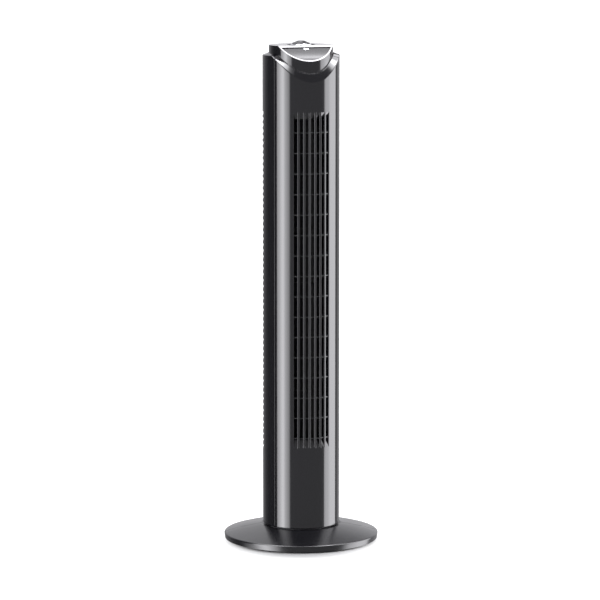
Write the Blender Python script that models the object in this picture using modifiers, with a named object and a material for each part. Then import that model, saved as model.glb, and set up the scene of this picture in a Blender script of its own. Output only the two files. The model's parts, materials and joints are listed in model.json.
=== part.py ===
"""Tower fan: a swinging column on a round base, with a cross-flow wheel and one rotary control.

Lengths in this script are millimetres, and the helpers turn them into metres. Z is the
column's axis, the column's front faces -Y, and the fan stands on Z = 0. The column is shown
swung 15 degrees from the base's own forward direction, so the base is turned back by that.
"""
import math

import bmesh
import bpy

MM = 0.001
GAP = 0.3

# Column
TOWER_RADIUS = 56.5
WALL = 2.5
TOWER_BOTTOM = 25.0
SHOULDER_Z = 718.0
SHOULDER_RISE = 3.0
SEAM_ANGLE = 60.0
NECK_RADIUS = 47.2
COLLAR_HOLE = 48.6
CAP_TOP = 732.3
CAP_BOTTOM = 686.0
CAP_WALL = 2.2
PANEL_CHORD = 22.0
PANEL_FRONT_Z = 710.4
PANEL_RADIUS = 44.6
PANEL_SINK = (1.3, 3.3)
COLLAR_LOW_OUTER = 680.0
COLLAR_LOW_INNER = 693.5
COLLAR_CURL_OUTER = 0.0142
COLLAR_CURL_INNER = 0.0138

# Front grille: seven slots, and thin ribs behind the fins
SLOT_COUNT = 7
SLOT_STEP = 8.5
SLOT_WIDTH = 5.0
GRILLE_BOTTOM = 158.5
GRILLE_TOP = 627.0
GRILLE_BOTTOM_FADE = 144.5
GRILLE_TOP_FADE = 637.6
GRILLE_DEPTH_RADIUS = 51.0
RIB_COUNT = 16
RIB_TOP_Z = 607.8
RIB_STEP = 29.91
RIB_HEIGHT = 1.6
RIB_SINK = 1.3

# Rear intake
VENT_COUNT = 57
VENT_TOP_Z = 633.0
VENT_STEP = 8.81
VENT_HEIGHT = 4.4
VENT_FIRST = 95.0
VENT_LAST = 165.0

# Base
SWING_REST = 15.0
BASE_RADIUS = 114.0
BASE_RIM_TOP = 10.1
BASE_RIM_BOTTOM = 2.2
BASE_RIM_TAPER = 1.2
BASE_WALL = 2.4
BASE_RING_Z = 22.0
BASE_CROWN = (58.6, 23.4)
BASE_HOLE = 51.5
FOOT_CIRCLE = 94.0
PLATE_RADIUS = 69.0
PLATE_BOTTOM = 12.0
PLATE_TOP = 15.0
PLATE_SCREW_CIRCLE = 64.0
POST_RADIUS = 6.0
POST_TOP = 36.0

# Swing drive: the crank pin runs in a radial slot of the swivel plate
CRANK_OFFSET = 26.0
CRANK_RADIUS = 15.0
CRANK_RATIO = 3.56
PIN_RADIUS = 2.0
PIN_SLOT_HALF = 5.5
SWING_EAR = 29.5
SWING_MOTOR_RADIUS = 24.5
SWING_MOTOR_BOTTOM = 41.0
SWING_MOTOR_TOP = 57.5

# Turntable under the column
TABLE_BOTTOM = 27.0
TABLE_TOP = 30.0
TABLE_RADIUS = 52.5
TABLE_SCREW_CIRCLE = 51.2
TABLE_SCREWS = {"front_left": -42.0, "front_right": 42.0, "rear": 180.0}
LEDGE_TOP = 34.0
LEDGE_RADIUS = 47.6
SKIRT_INNER = 46.0
SKIRT_OUTER = 48.5
SKIRT_BOTTOM = 17.6

# Wheel and motor share an axis a little behind the column's own
WHEEL_Y = 8.0
WHEEL_RADIUS = 33.0
WHEEL_BOTTOM = 144.0
WHEEL_TOP = 626.0
WHEEL_SECTIONS = 3
BLADE_COUNT = 14
SHAFT_RADIUS = 3.0
MOTOR_RADIUS = 39.0
MOTOR_BRACKET_Z = 116.3
UPPER_BRACKET_Z = 634.0
BRACKET_FLANGE = (49.2, 52.5)
SHELL_SCREW_ANGLES = (153.3, 206.7)
SCREW_SEAT = 54.6
GLAND_Z = 66.0

# Control
DIAL_WELL = 20.8
DIAL_FLOOR = 725.5
DIAL_LIP = 0.4
SWITCH_TOP = 729.6
KNOB_RADIUS = 13.9
KNOB_BOTTOM = 734.8
KNOB_TOP = 738.5


def collections():
    """Empty the scene, and make one collection for the fan and one for its cutters."""
    for obj in list(bpy.data.objects):
        bpy.data.objects.remove(obj)
    made = []
    for name in ("tower_fan", "cutters"):
        collection = bpy.data.collections.new(name)
        bpy.context.scene.collection.children.link(collection)
        made.append(collection)
    return made


PARTS, CUTTERS = collections()


def material(name, colour, roughness, metallic=0.0):
    """A Principled material of one colour, made once for each name."""
    found = bpy.data.materials.get(name)
    if found:
        return found
    made = bpy.data.materials.new(name)
    made.use_nodes = True
    shader = made.node_tree.nodes["Principled BSDF"]
    shader.inputs["Base Color"].default_value = (*colour, 1.0)
    shader.inputs["Roughness"].default_value = roughness
    shader.inputs["Metallic"].default_value = metallic
    return made


FINISHES = {
    "gloss_charcoal": ((0.028, 0.027, 0.033), 0.18, 0.0),
    "matte_black": ((0.015, 0.015, 0.017), 0.55, 0.0),
    "dark_plastic": ((0.05, 0.05, 0.055), 0.4, 0.0),
    "white_plastic": ((0.7, 0.7, 0.68), 0.35, 0.0),
    "silver_plastic": ((0.62, 0.62, 0.64), 0.25, 0.6),
    "rubber": ((0.02, 0.02, 0.02), 0.8, 0.0),
    "steel": ((0.55, 0.55, 0.56), 0.3, 1.0),
    "laminations": ((0.32, 0.32, 0.34), 0.45, 1.0),
    "copper": ((0.72, 0.33, 0.16), 0.35, 1.0),
    "bronze": ((0.55, 0.38, 0.18), 0.4, 1.0),
}


def axis_empty(name, location=(0.0, 0.0, 0.0), turn=0.0, parent=None):
    """An empty on the axis that a group of pieces shares."""
    empty = bpy.data.objects.new(name, None)
    empty.location = [value * MM for value in location]
    empty.rotation_euler.z = math.radians(turn)
    empty.parent = parent
    PARTS.objects.link(empty)
    return empty


BASE = axis_empty("base_axis", turn=-SWING_REST)
TOWER = axis_empty("tower_axis")
ROTOR = axis_empty("rotor_axis", (0.0, WHEEL_Y, 0.0), parent=TOWER)
KNOB = axis_empty("knob_axis", parent=TOWER)
CRANK = axis_empty("crank_axis", (0.0, CRANK_OFFSET, 0.0), -SWING_REST * CRANK_RATIO, TOWER)


def place(name, mesh, finish, parent, location=(0.0, 0.0, 0.0), rotation=(0.0, 0.0, 0.0)):
    """Make an object of a mesh. With no finish it is a cutter."""
    obj = bpy.data.objects.new(name, mesh)
    obj.parent = parent
    obj.location = [value * MM for value in location]
    obj.rotation_euler = [math.radians(value) for value in rotation]
    if finish:
        obj.data.materials.append(material(finish, *FINISHES[finish]))
        PARTS.objects.link(obj)
    else:
        obj.hide_render = True
        obj.display_type = "WIRE"
        CUTTERS.objects.link(obj)
    return obj


def to_mesh(name, shape):
    """A mesh in metres from a bmesh in millimetres."""
    bmesh.ops.recalc_face_normals(shape, faces=shape.faces)
    bmesh.ops.scale(shape, vec=(MM, MM, MM), verts=shape.verts)
    mesh = bpy.data.meshes.new(name)
    shape.to_mesh(mesh)
    shape.free()
    return mesh


def turned(name, profile, finish, parent, steps=16, ring=False, **where):
    """A profile of (radius, height) turned about Z. It runs down its outer side."""
    mesh = bpy.data.meshes.new(name)
    count = len(profile)
    edges = [(index, index + 1) for index in range(count - 1)]
    if ring:
        edges.append((count - 1, 0))
    points = [(radius * MM, 0.0, height * MM) for radius, height in profile]
    mesh.from_pydata(points, edges, [])
    obj = place(name, mesh, finish, parent, **where)
    screw = obj.modifiers.new("turn", "SCREW")
    screw.axis = "Z"
    screw.angle = math.tau
    screw.steps = steps
    screw.render_steps = steps
    screw.use_merge_vertices = True
    screw.merge_threshold = 0.00001
    return obj


def tube(name, inner, outer, bottom, top, finish, parent, steps=16, **where):
    """A plain ring."""
    profile = [(inner, top), (outer, top), (outer, bottom), (inner, bottom)]
    return turned(name, profile, finish, parent, steps, True, **where)


def rod(name, radius, bottom, top, finish, parent, steps=14, **where):
    """A plain cylinder along Z."""
    shape = bmesh.new()
    made = bmesh.ops.create_cone(
        shape, cap_ends=True, segments=steps, radius1=radius, radius2=radius, depth=top - bottom)
    bmesh.ops.translate(shape, vec=(0.0, 0.0, (top + bottom) / 2.0), verts=made["verts"])
    return place(name, to_mesh(name, shape), finish, parent, **where)


def add_box(shape, low, high):
    """Add a box between two corners to a bmesh."""
    made = bmesh.ops.create_cube(shape, size=1.0)["verts"]
    size = [top - bottom for bottom, top in zip(low, high)]
    middle = [(top + bottom) / 2.0 for bottom, top in zip(low, high)]
    bmesh.ops.scale(shape, vec=size, verts=made)
    bmesh.ops.translate(shape, vec=middle, verts=made)
    return made


def box(name, low, high, finish, parent, **where):
    """One box between two corners."""
    shape = bmesh.new()
    add_box(shape, low, high)
    return place(name, to_mesh(name, shape), finish, parent, **where)


def polar(radius, angle, height):
    """A point at an angle from the front, which is -Y."""
    turn = math.radians(angle)
    return (radius * math.sin(turn), -radius * math.cos(turn), height)


def add_sweep(shape, section, angles):
    """Carry a closed (radius, height) section round Z, from the first angle to the last."""
    loops = []
    for angle in angles:
        points = [polar(radius, angle, height) for radius, height in section(angle)]
        loops.append([shape.verts.new(point) for point in points])
    for near, far in zip(loops, loops[1:]):
        for index in range(len(near)):
            after = (index + 1) % len(near)
            shape.faces.new((near[index], near[after], far[after], far[index]))
    shape.faces.new(loops[0])
    shape.faces.new(loops[-1])


def sweep(name, section, angles, finish, parent, **where):
    """A part-round piece whose section may change with the angle."""
    shape = bmesh.new()
    add_sweep(shape, section, angles)
    return place(name, to_mesh(name, shape), finish, parent, **where)


def spread(first, last, steps):
    """Evenly spaced values, with both ends."""
    return [first + (last - first) * step / steps for step in range(steps + 1)]


def extruded(name, outline, bottom, top, finish, parent, **where):
    """A flat outline of (x, y) points with a height."""
    curve = bpy.data.curves.new(name, "CURVE")
    curve.dimensions = "2D"
    curve.fill_mode = "BOTH"
    curve.extrude = (top - bottom) / 2.0 * MM
    spline = curve.splines.new("POLY")
    spline.points.add(len(outline) - 1)
    for point, (x, y) in zip(spline.points, outline):
        point.co = (x * MM, y * MM, 0.0, 1.0)
    spline.use_cyclic_u = True
    drawn = bpy.data.objects.new(name + "_outline", curve)
    bpy.context.scene.collection.objects.link(drawn)
    ready = drawn.evaluated_get(bpy.context.evaluated_depsgraph_get())
    mesh = bpy.data.meshes.new_from_object(ready)
    bpy.data.objects.remove(drawn)
    shape = bmesh.new()
    shape.from_mesh(mesh)
    bmesh.ops.remove_doubles(shape, verts=shape.verts, dist=0.000001)
    bmesh.ops.recalc_face_normals(shape, faces=shape.faces)
    bmesh.ops.translate(shape, vec=(0.0, 0.0, (top + bottom) / 2.0 * MM), verts=shape.verts)
    shape.to_mesh(mesh)
    shape.free()
    mesh.materials.clear()
    return place(name, mesh, finish, parent, **where)


def combine(obj, other, operation="DIFFERENCE"):
    """Cut another shape out of an object, or join it on."""
    boolean = obj.modifiers.new(other.name, "BOOLEAN")
    boolean.operation = operation
    boolean.solver = "EXACT"
    boolean.object = other
    return obj


def hole(obj, radius, bottom, top, steps=10, **where):
    """Bore a round hole along Z in an object."""
    cutter = rod(obj.name + "_bore", radius, bottom, top, None, obj.parent, steps, **where)
    return combine(obj, cutter)


def screw(name, parent, finish="steel", head=(2.8, 1.9), shank=(1.4, 8.0), **where):
    """A pan-head screw whose seat is at its origin and whose head points up."""
    head_radius, head_height = head
    shank_radius, length = shank
    profile = [
        (0.0, head_height), (head_radius * 0.6, head_height), (head_radius, 0.0),
        (shank_radius, 0.0), (shank_radius, -length), (0.0, -length)]
    return turned(name, profile, finish, parent, 8, **where)


def wall_outline(path, thickness):
    """The outline of a wall of one thickness whose middle follows a path."""
    left = []
    right = []
    for index, (x, y) in enumerate(path):
        before = path[max(index - 1, 0)]
        after = path[min(index + 1, len(path) - 1)]
        run = math.hypot(after[0] - before[0], after[1] - before[1])
        side_x = -(after[1] - before[1]) / run * thickness / 2.0
        side_y = (after[0] - before[0]) / run * thickness / 2.0
        left.append((x + side_x, y + side_y))
        right.append((x - side_x, y - side_y))
    return left + right[::-1]


# Base ---------------------------------------------------------------------------


def base_height(radius):
    """Height of the base's crowned top at a radius."""
    crown_radius, crown_z = BASE_CROWN
    along = (radius - crown_radius) / (BASE_RADIUS - 1.0 - crown_radius)
    straight = crown_z + (BASE_RIM_TOP + 0.8 - crown_z) * along
    return straight + 3.2 * along * (1.0 - along)


def base_section(_angle):
    """Section of the base's shell: crowned top, short rim, open underneath."""
    outer = [(BASE_HOLE, BASE_RING_Z), (BASE_CROWN[0] - 1.4, BASE_RING_Z)]
    radii = spread(BASE_CROWN[0], BASE_RADIUS - 1.0, 3)
    outer += [(radius, base_height(radius)) for radius in radii]
    outer += [(BASE_RADIUS, BASE_RIM_TOP), (BASE_RADIUS - BASE_RIM_TAPER, BASE_RIM_BOTTOM)]
    inner_rim = BASE_RADIUS - BASE_WALL
    inner = [(inner_rim - BASE_RIM_TAPER, BASE_RIM_BOTTOM), (inner_rim, BASE_RIM_TOP - 1.6)]
    inner += [(radius, base_height(radius) - BASE_WALL) for radius in radii[2:0:-1]]
    inner += [(BASE_CROWN[0] - 1.4, BASE_RING_Z - BASE_WALL), (BASE_HOLE, BASE_RING_Z - BASE_WALL)]
    return outer + inner


def rib_section(_angle):
    """Section of a stiffening rib under the base's top."""
    inner = PLATE_RADIUS + 2.0
    outer = BASE_RADIUS - BASE_WALL / 2.0 - BASE_RIM_TAPER
    inset = BASE_WALL / 2.0
    return [
        (inner, base_height(inner) - inset), (outer, BASE_RIM_TOP - inset),
        (outer, 4.0), (inner, 8.0)]


def base_half(name, middle):
    """Half of the base, centred on an angle from the front."""
    half_turn = 89.85
    angles = spread(middle - half_turn, middle + half_turn, 16)
    half = sweep(name, base_section, angles, "gloss_charcoal", BASE)
    ribs = bmesh.new()
    for offset in (-60.0, -20.0, 20.0, 60.0):
        add_sweep(ribs, rib_section, (middle + offset - 0.7, middle + offset + 0.7))
    combine(half, place(name + "_ribs", to_mesh(name + "_ribs", ribs), None, BASE), "UNION")
    for offset in (-45.0, 45.0):
        x, y, _ = polar(FOOT_CIRCLE, middle + offset, 0.0)
        boss = rod(name + "_foot_boss", 7.0, 3.0, 13.0, None, BASE, 16, location=(x, y, 0.0))
        combine(half, boss, "UNION")
        hole(half, 2.4, 2.0, 9.0, location=(x, y, 0.0))
        x, y, _ = polar(PLATE_SCREW_CIRCLE, middle + offset, 0.0)
        boss = rod(name + "_boss", 4.2, PLATE_TOP + GAP, 20.8, None, BASE, 12, location=(x, y, 0.0))
        combine(half, boss, "UNION")
        hole(half, 1.7, PLATE_TOP, 20.2, 8, location=(x, y, 0.0))
    return half


def base_parts():
    """Everything that stands still."""
    base_half("base_front_half", 0.0)
    base_half("base_rear_half", 180.0)
    plate = turned(
        "swivel_plate",
        [(0.0, POST_TOP), (POST_RADIUS, POST_TOP), (POST_RADIUS, PLATE_TOP),
         (PLATE_RADIUS, PLATE_TOP), (PLATE_RADIUS, PLATE_BOTTOM), (0.0, PLATE_BOTTOM)],
        "dark_plastic", BASE, 24)
    slot_end = CRANK_OFFSET + CRANK_RADIUS + PIN_RADIUS + 1.0
    slot_start = CRANK_OFFSET - CRANK_RADIUS - PIN_RADIUS - GAP
    combine(plate, box(
        "pin_slot", (-PIN_SLOT_HALF, slot_start, 5.0), (PIN_SLOT_HALF, slot_end, 20.0), None, BASE))
    hole(plate, 1.9, 22.0, POST_TOP + 4.0)
    corners = {"front_left": -45.0, "front_right": 45.0, "rear_right": 135.0, "rear_left": 225.0}
    for corner, angle in corners.items():
        x, y, _ = polar(PLATE_SCREW_CIRCLE, angle, 0.0)
        hole(plate, 1.8, 5.0, 20.0, location=(x, y, 0.0))
        screw("base_screw_" + corner, BASE, location=(x, y, PLATE_BOTTOM - GAP), rotation=(180, 0, 0))
        x, y, _ = polar(FOOT_CIRCLE, angle, 0.0)
        turned(
            "foot_" + corner,
            [(0.0, 8.5), (2.1, 8.5), (2.1, 2.7), (8.0, 2.7), (8.5, 2.2), (8.5, 0.6), (8.0, 0.0),
             (0.0, 0.0)],
            "rubber", BASE, 12, location=(x, y, 0.0))
    tube("slide_ring", 45.8, 49.0, PLATE_TOP + GAP, SKIRT_BOTTOM - GAP, "white_plastic", BASE, 20)
    tube("retaining_washer", 2.0, 11.5, POST_TOP + GAP, POST_TOP + 1.8, "steel", BASE)
    screw(
        "pivot_screw", BASE, head=(4.2, 2.0), shank=(1.6, 13.0),
        location=(0.0, 0.0, POST_TOP + 1.8 + GAP))


# Column's casing ------------------------------------------------------------------


def swoop(angle, lowest, radius, curl, highest):
    """Height of an edge that dips at the front and climbs with the sideways distance squared."""
    turn = math.radians(angle)
    if math.cos(turn) <= 0.0:
        return highest
    return min(highest, lowest + curl * (radius * math.sin(turn)) ** 2)


def collar_outer(angle):
    """Height of the collar's edge on the column's skin."""
    return swoop(angle, COLLAR_LOW_OUTER, TOWER_RADIUS, COLLAR_CURL_OUTER, SHOULDER_Z)


def collar_inner(angle):
    """Height of the collar's edge against the neck."""
    highest = SHOULDER_Z + SHOULDER_RISE
    return swoop(angle, COLLAR_LOW_INNER, NECK_RADIUS, COLLAR_CURL_INNER, highest)


def shell_section(angle):
    """Section of the column's wall: straight, with a sloping collar and a ledge near its foot."""
    outer = collar_outer(angle)
    inner = collar_inner(angle)
    neck = COLLAR_HOLE
    inside = TOWER_RADIUS - WALL
    slope = (inner - outer) / (TOWER_RADIUS - neck)
    drop = WALL * math.hypot(1.0, slope)
    return [
        (neck, inner), (TOWER_RADIUS, outer), (TOWER_RADIUS, TOWER_BOTTOM), (inside, TOWER_BOTTOM),
        (inside, TABLE_TOP + GAP), (LEDGE_RADIUS, TABLE_TOP + GAP), (LEDGE_RADIUS, LEDGE_TOP),
        (inside, LEDGE_TOP), (inside, outer + slope * WALL - drop), (neck, inner - drop)]


def table_screw_place(angle, height=0.0):
    """Place of a turntable screw at an angle from the front."""
    return polar(TABLE_SCREW_CIRCLE, angle, height)


def grille_slots():
    """Cutters for the upright slots, whose ends ramp out to the skin."""
    shape = bmesh.new()
    inner = GRILLE_DEPTH_RADIUS - 1.0
    outer = TOWER_RADIUS + 3.0
    depth = TOWER_RADIUS - GRILLE_DEPTH_RADIUS
    top_slope = (GRILLE_TOP_FADE - GRILLE_TOP) / depth
    bottom_slope = (GRILLE_BOTTOM - GRILLE_BOTTOM_FADE) / depth
    for index in range(SLOT_COUNT):
        angle = (index - (SLOT_COUNT - 1) / 2.0) * SLOT_STEP
        made = add_box(
            shape, (-SLOT_WIDTH / 2.0, -outer, GRILLE_BOTTOM),
            (SLOT_WIDTH / 2.0, -inner, GRILLE_TOP))
        for vert in made:
            reach = -vert.co.y - GRILLE_DEPTH_RADIUS
            if vert.co.z > (GRILLE_TOP + GRILLE_BOTTOM) / 2.0:
                vert.co.z += top_slope * reach
            else:
                vert.co.z -= bottom_slope * reach
        turn = math.radians(angle)
        for vert in made:
            x, y = vert.co.x, vert.co.y
            vert.co.x = x * math.cos(turn) - y * math.sin(turn)
            vert.co.y = x * math.sin(turn) + y * math.cos(turn)
    return place("grille_slots", to_mesh("grille_slots", shape), None, TOWER)


def block_section(low, high, bottom, top):
    """A rectangular section between two radii and two heights."""
    corners = [(low, top), (high, top), (high, bottom), (low, bottom)]
    return lambda _angle: corners


def front_shell():
    """Front of the column's casing with its grille."""
    edge = SEAM_ANGLE - 0.2
    half_width = SLOT_COUNT * SLOT_STEP / 2.0
    across = spread(-half_width, half_width, SLOT_COUNT)
    side = spread(half_width, edge, 3)[1:]
    angles = [-angle for angle in side[::-1]] + across + side
    shell = sweep("front_shell", shell_section, angles, "gloss_charcoal", TOWER)
    block = block_section(
        GRILLE_DEPTH_RADIUS, TOWER_RADIUS - 1.0, GRILLE_BOTTOM - 6.0, GRILLE_TOP + 6.0)
    block_edge = half_width + 0.7
    block_angles = spread(-block_edge, block_edge, SLOT_COUNT)
    combine(shell, sweep("grille_block", block, block_angles, None, TOWER), "UNION")
    combine(shell, grille_slots())
    ribs = bmesh.new()
    for index in range(RIB_COUNT):
        middle = RIB_TOP_Z - index * RIB_STEP
        section = block_section(
            GRILLE_DEPTH_RADIUS + 1.4, TOWER_RADIUS - RIB_SINK,
            middle - RIB_HEIGHT / 2.0, middle + RIB_HEIGHT / 2.0)
        add_sweep(ribs, section, spread(-half_width + 1.0, half_width - 1.0, 5))
    combine(shell, place("grille_ribs", to_mesh("grille_ribs", ribs), None, TOWER), "UNION")
    for angle in TABLE_SCREWS.values():
        if abs(angle) < SEAM_ANGLE:
            hole(shell, 1.6, TABLE_TOP - 1.0, LEDGE_TOP + 1.0, 8, location=table_screw_place(angle))
    return shell


def rear_vents():
    """Cutters for the level intake slots on both sides of the rear spine."""
    shape = bmesh.new()
    reach = TOWER_RADIUS + 5.0
    _, front_y, _ = polar(TOWER_RADIUS, VENT_FIRST + 0.5, 0.0)
    spine_x, _, _ = polar(TOWER_RADIUS, VENT_LAST - 0.5, 0.0)
    for index in range(VENT_COUNT):
        middle = VENT_TOP_Z - index * VENT_STEP
        low = middle - VENT_HEIGHT / 2.0
        high = middle + VENT_HEIGHT / 2.0
        add_box(shape, (spine_x, front_y, low), (reach, reach, high))
        add_box(shape, (-reach, front_y, low), (-spine_x, reach, high))
    return place("rear_vents", to_mesh("rear_vents", shape), None, TOWER)


def radial_hole(obj, radius, inner, outer, angle, height, steps=16):
    """Bore a round hole along a radius of the column."""
    cutter = rod(
        obj.name + "_side_bore", radius, inner, outer, None, TOWER, steps,
        location=(0.0, 0.0, height), rotation=(90.0, 0.0, angle))
    return combine(obj, cutter)


def rear_shell():
    """Back of the column's casing with its intake slots."""
    edge = SEAM_ANGLE + 0.2
    half = [edge, 67.6, 81.0] + spread(VENT_FIRST, VENT_LAST, 3)
    angles = half + [180.0] + [360.0 - angle for angle in half[::-1]]
    shell = sweep("rear_shell", shell_section, angles, "gloss_charcoal", TOWER)
    combine(shell, rear_vents())
    for angle in SHELL_SCREW_ANGLES:
        for height in (shell_screw_z("lower"), shell_screw_z("upper")):
            radial_hole(shell, 1.8, 50.0, 60.0, angle, height)
            radial_hole(shell, 3.3, SCREW_SEAT - GAP, 60.0, angle, height)
    radial_hole(shell, 6.2, 48.0, 60.0, 180.0, GLAND_Z)
    hole(
        shell, 1.6, TABLE_TOP - 1.0, LEDGE_TOP + 1.0, 12,
        location=table_screw_place(TABLE_SCREWS["rear"]))
    return shell


def shell_screw_z(level):
    """Height of the screws that hold the rear shell to a bracket's flange."""
    if level == "lower":
        return MOTOR_BRACKET_Z - 3.5
    return UPPER_BRACKET_Z + 7.0


def casing_parts():
    """The shells, the turntable and the cap."""
    front_shell()
    rear_shell()
    table = turned(
        "bottom_plate",
        [(8.6, 35.7), (12.0, 35.7), (12.0, TABLE_TOP), (TABLE_RADIUS, TABLE_TOP),
         (TABLE_RADIUS, TABLE_BOTTOM), (SKIRT_OUTER, TABLE_BOTTOM), (SKIRT_OUTER, SKIRT_BOTTOM),
         (SKIRT_INNER, SKIRT_BOTTOM), (SKIRT_INNER, TABLE_BOTTOM), (8.6, TABLE_BOTTOM)],
        "dark_plastic", TOWER, 24, True)
    hole(table, 4.2, 20.0, 35.0, location=(0.0, CRANK_OFFSET, 0.0))
    for side in (-1, 1):
        spot = (side * SWING_EAR, CRANK_OFFSET, 0.0)
        combine(table, rod("standoff", 3.6, TABLE_TOP - 1.0, 40.7, None, TOWER, 16, location=spot), "UNION")
        hole(table, 1.7, 33.0, 45.0, 8, location=spot)
    for corner, angle in TABLE_SCREWS.items():
        hole(table, 1.7, 20.0, 35.0, 8, location=table_screw_place(angle))
        screw(
            "bottom_plate_screw_" + corner, TOWER, head=(2.4, 1.8), shank=(1.3, 6.4),
            location=table_screw_place(angle, TABLE_BOTTOM - GAP), rotation=(180, 0, 0))
    tube("pivot_bush", POST_RADIUS + GAP, 8.3, 27.0, 35.4, "bronze", TOWER, 16)
    for side, angle in zip(("right", "left"), SHELL_SCREW_ANGLES):
        for level in ("lower", "upper"):
            x, y, z = polar(SCREW_SEAT, angle, shell_screw_z(level))
            screw(
                "shell_screw_" + level + "_" + side, TOWER, head=(2.9, 0.9), shank=(1.4, 5.4),
                location=(x, y, z), rotation=(90.0, 0.0, angle))
    turned(
        "cord_gland",
        [(3.4, 59.0), (7.6, 59.0), (8.6, 58.0), (8.6, TOWER_RADIUS + GAP), (5.9, TOWER_RADIUS + GAP),
         (5.9, 51.0), (3.4, 51.0)],
        "rubber", TOWER, 16, True, location=(0.0, 0.0, GLAND_Z), rotation=(90.0, 0.0, 180.0))


# Top and control --------------------------------------------------------------------


def panel_pitch():
    """Angle of the sloping front of the cap, in degrees below level."""
    run = NECK_RADIUS - PANEL_CHORD
    return math.degrees(math.atan2(CAP_TOP - PANEL_FRONT_Z, run))


def panel_slab(name, finish, upper, lower, half):
    """A slab along the cap's slope, between two depths below its surface."""
    return box(
        name, (-half, -half, -lower), (half, half, -upper), finish, TOWER,
        location=(0.0, -PANEL_CHORD, CAP_TOP), rotation=(panel_pitch(), 0.0, 0.0))


def control_parts():
    """The cap, its sloping panel, the dial and the switch behind it."""
    cap = turned(
        "top_cap",
        [(0.0, CAP_TOP), (NECK_RADIUS - 0.8, CAP_TOP), (NECK_RADIUS, CAP_TOP - 0.8),
         (NECK_RADIUS, CAP_BOTTOM), (NECK_RADIUS - CAP_WALL, CAP_BOTTOM),
         (NECK_RADIUS - CAP_WALL, CAP_TOP - 2.4), (0.0, CAP_TOP - 2.4)],
        "gloss_charcoal", TOWER, 32)
    slope = panel_slab("cap_slope", None, -60.0, 0.0, 80.0)
    combine(cap, slope)
    hole(cap, DIAL_WELL, CAP_TOP - 10.0, CAP_TOP + 5.0, 24)
    panel = panel_slab("control_panel", "gloss_charcoal", PANEL_SINK[0], PANEL_SINK[1], 60.0)
    reach = math.acos((PANEL_CHORD + 1.1) / PANEL_RADIUS)
    turns = spread(-reach, reach, 20)
    outline = [(PANEL_RADIUS * math.sin(turn), -PANEL_RADIUS * math.cos(turn)) for turn in turns]
    combine(panel, extruded("panel_outline", outline, 680.0, 760.0, None, TOWER), "INTERSECT")
    rim = DIAL_WELL - GAP
    lip_top = CAP_TOP + DIAL_LIP
    turned(
        "dial_bezel",
        [(4.9, DIAL_FLOOR + 1.8), (rim - 2.7, DIAL_FLOOR + 1.8), (rim - 1.8, lip_top), (rim, lip_top),
         (rim, DIAL_FLOOR), (4.9, DIAL_FLOOR)],
        "matte_black", TOWER, 24, True)
    case_top = DIAL_FLOOR - GAP
    switch = box("rotary_switch", (-13.0, -13.0, 709.0), (13.0, 13.0, case_top), "white_plastic", TOWER)
    combine(switch, rod("switch_neck", 4.6, 720.0, SWITCH_TOP, None, TOWER, 20), "UNION")
    hole(switch, 3.4, 712.0, 735.0)
    nut = rod("switch_nut", 7.6, DIAL_FLOOR + 1.8 + GAP, SWITCH_TOP, "steel", TOWER, 6)
    hole(nut, 5.0, 720.0, 735.0)
    spindle_top = KNOB_TOP - 2.9
    rod("switch_spindle", SHAFT_RADIUS, 713.0, spindle_top, "steel", KNOB)
    bore_top = spindle_top + 0.4
    turned(
        "speed_knob",
        [(0.0, KNOB_TOP), (5.6, KNOB_TOP - 0.1), (8.5, KNOB_TOP - 0.9), (11.0, KNOB_TOP - 2.1),
         (13.0, KNOB_TOP - 2.9), (KNOB_RADIUS, KNOB_BOTTOM + 0.4), (KNOB_RADIUS, KNOB_BOTTOM),
         (3.3, KNOB_BOTTOM), (3.3, bore_top), (0.0, bore_top)],
        "gloss_charcoal", KNOB, 20)
    skirt_top = KNOB_BOTTOM - GAP
    skirt_bottom = SWITCH_TOP + 0.4
    turned(
        "knob_skirt",
        [(3.4, skirt_top), (13.2, skirt_top), (13.6, skirt_top - 3.1), (13.6, skirt_bottom),
         (8.8, skirt_bottom), (8.8, skirt_bottom + 1.4), (3.4, skirt_bottom + 1.4)],
        "silver_plastic", KNOB, 16, True)


# Motor, wheel and air duct -------------------------------------------------------------


def bracket_ring(name, plate_z, flange_down):
    """A round bracket across the column, with a flange that the shells are screwed to."""
    low, high = BRACKET_FLANGE
    if flange_down:
        profile = [
            (0.0, plate_z + 3.0), (high, plate_z + 3.0), (high, plate_z - 7.3), (low, plate_z - 7.3),
            (low, plate_z), (0.0, plate_z)]
    else:
        profile = [
            (0.0, plate_z + 3.0), (low, plate_z + 3.0), (low, plate_z + 10.6), (high, plate_z + 10.6),
            (high, plate_z), (0.0, plate_z)]
    bracket = turned(name, profile, "dark_plastic", TOWER, 24)
    level = "lower" if flange_down else "upper"
    for angle in SHELL_SCREW_ANGLES:
        radial_hole(bracket, 1.7, 45.0, 60.0, angle, shell_screw_z(level))
    return bracket


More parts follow.
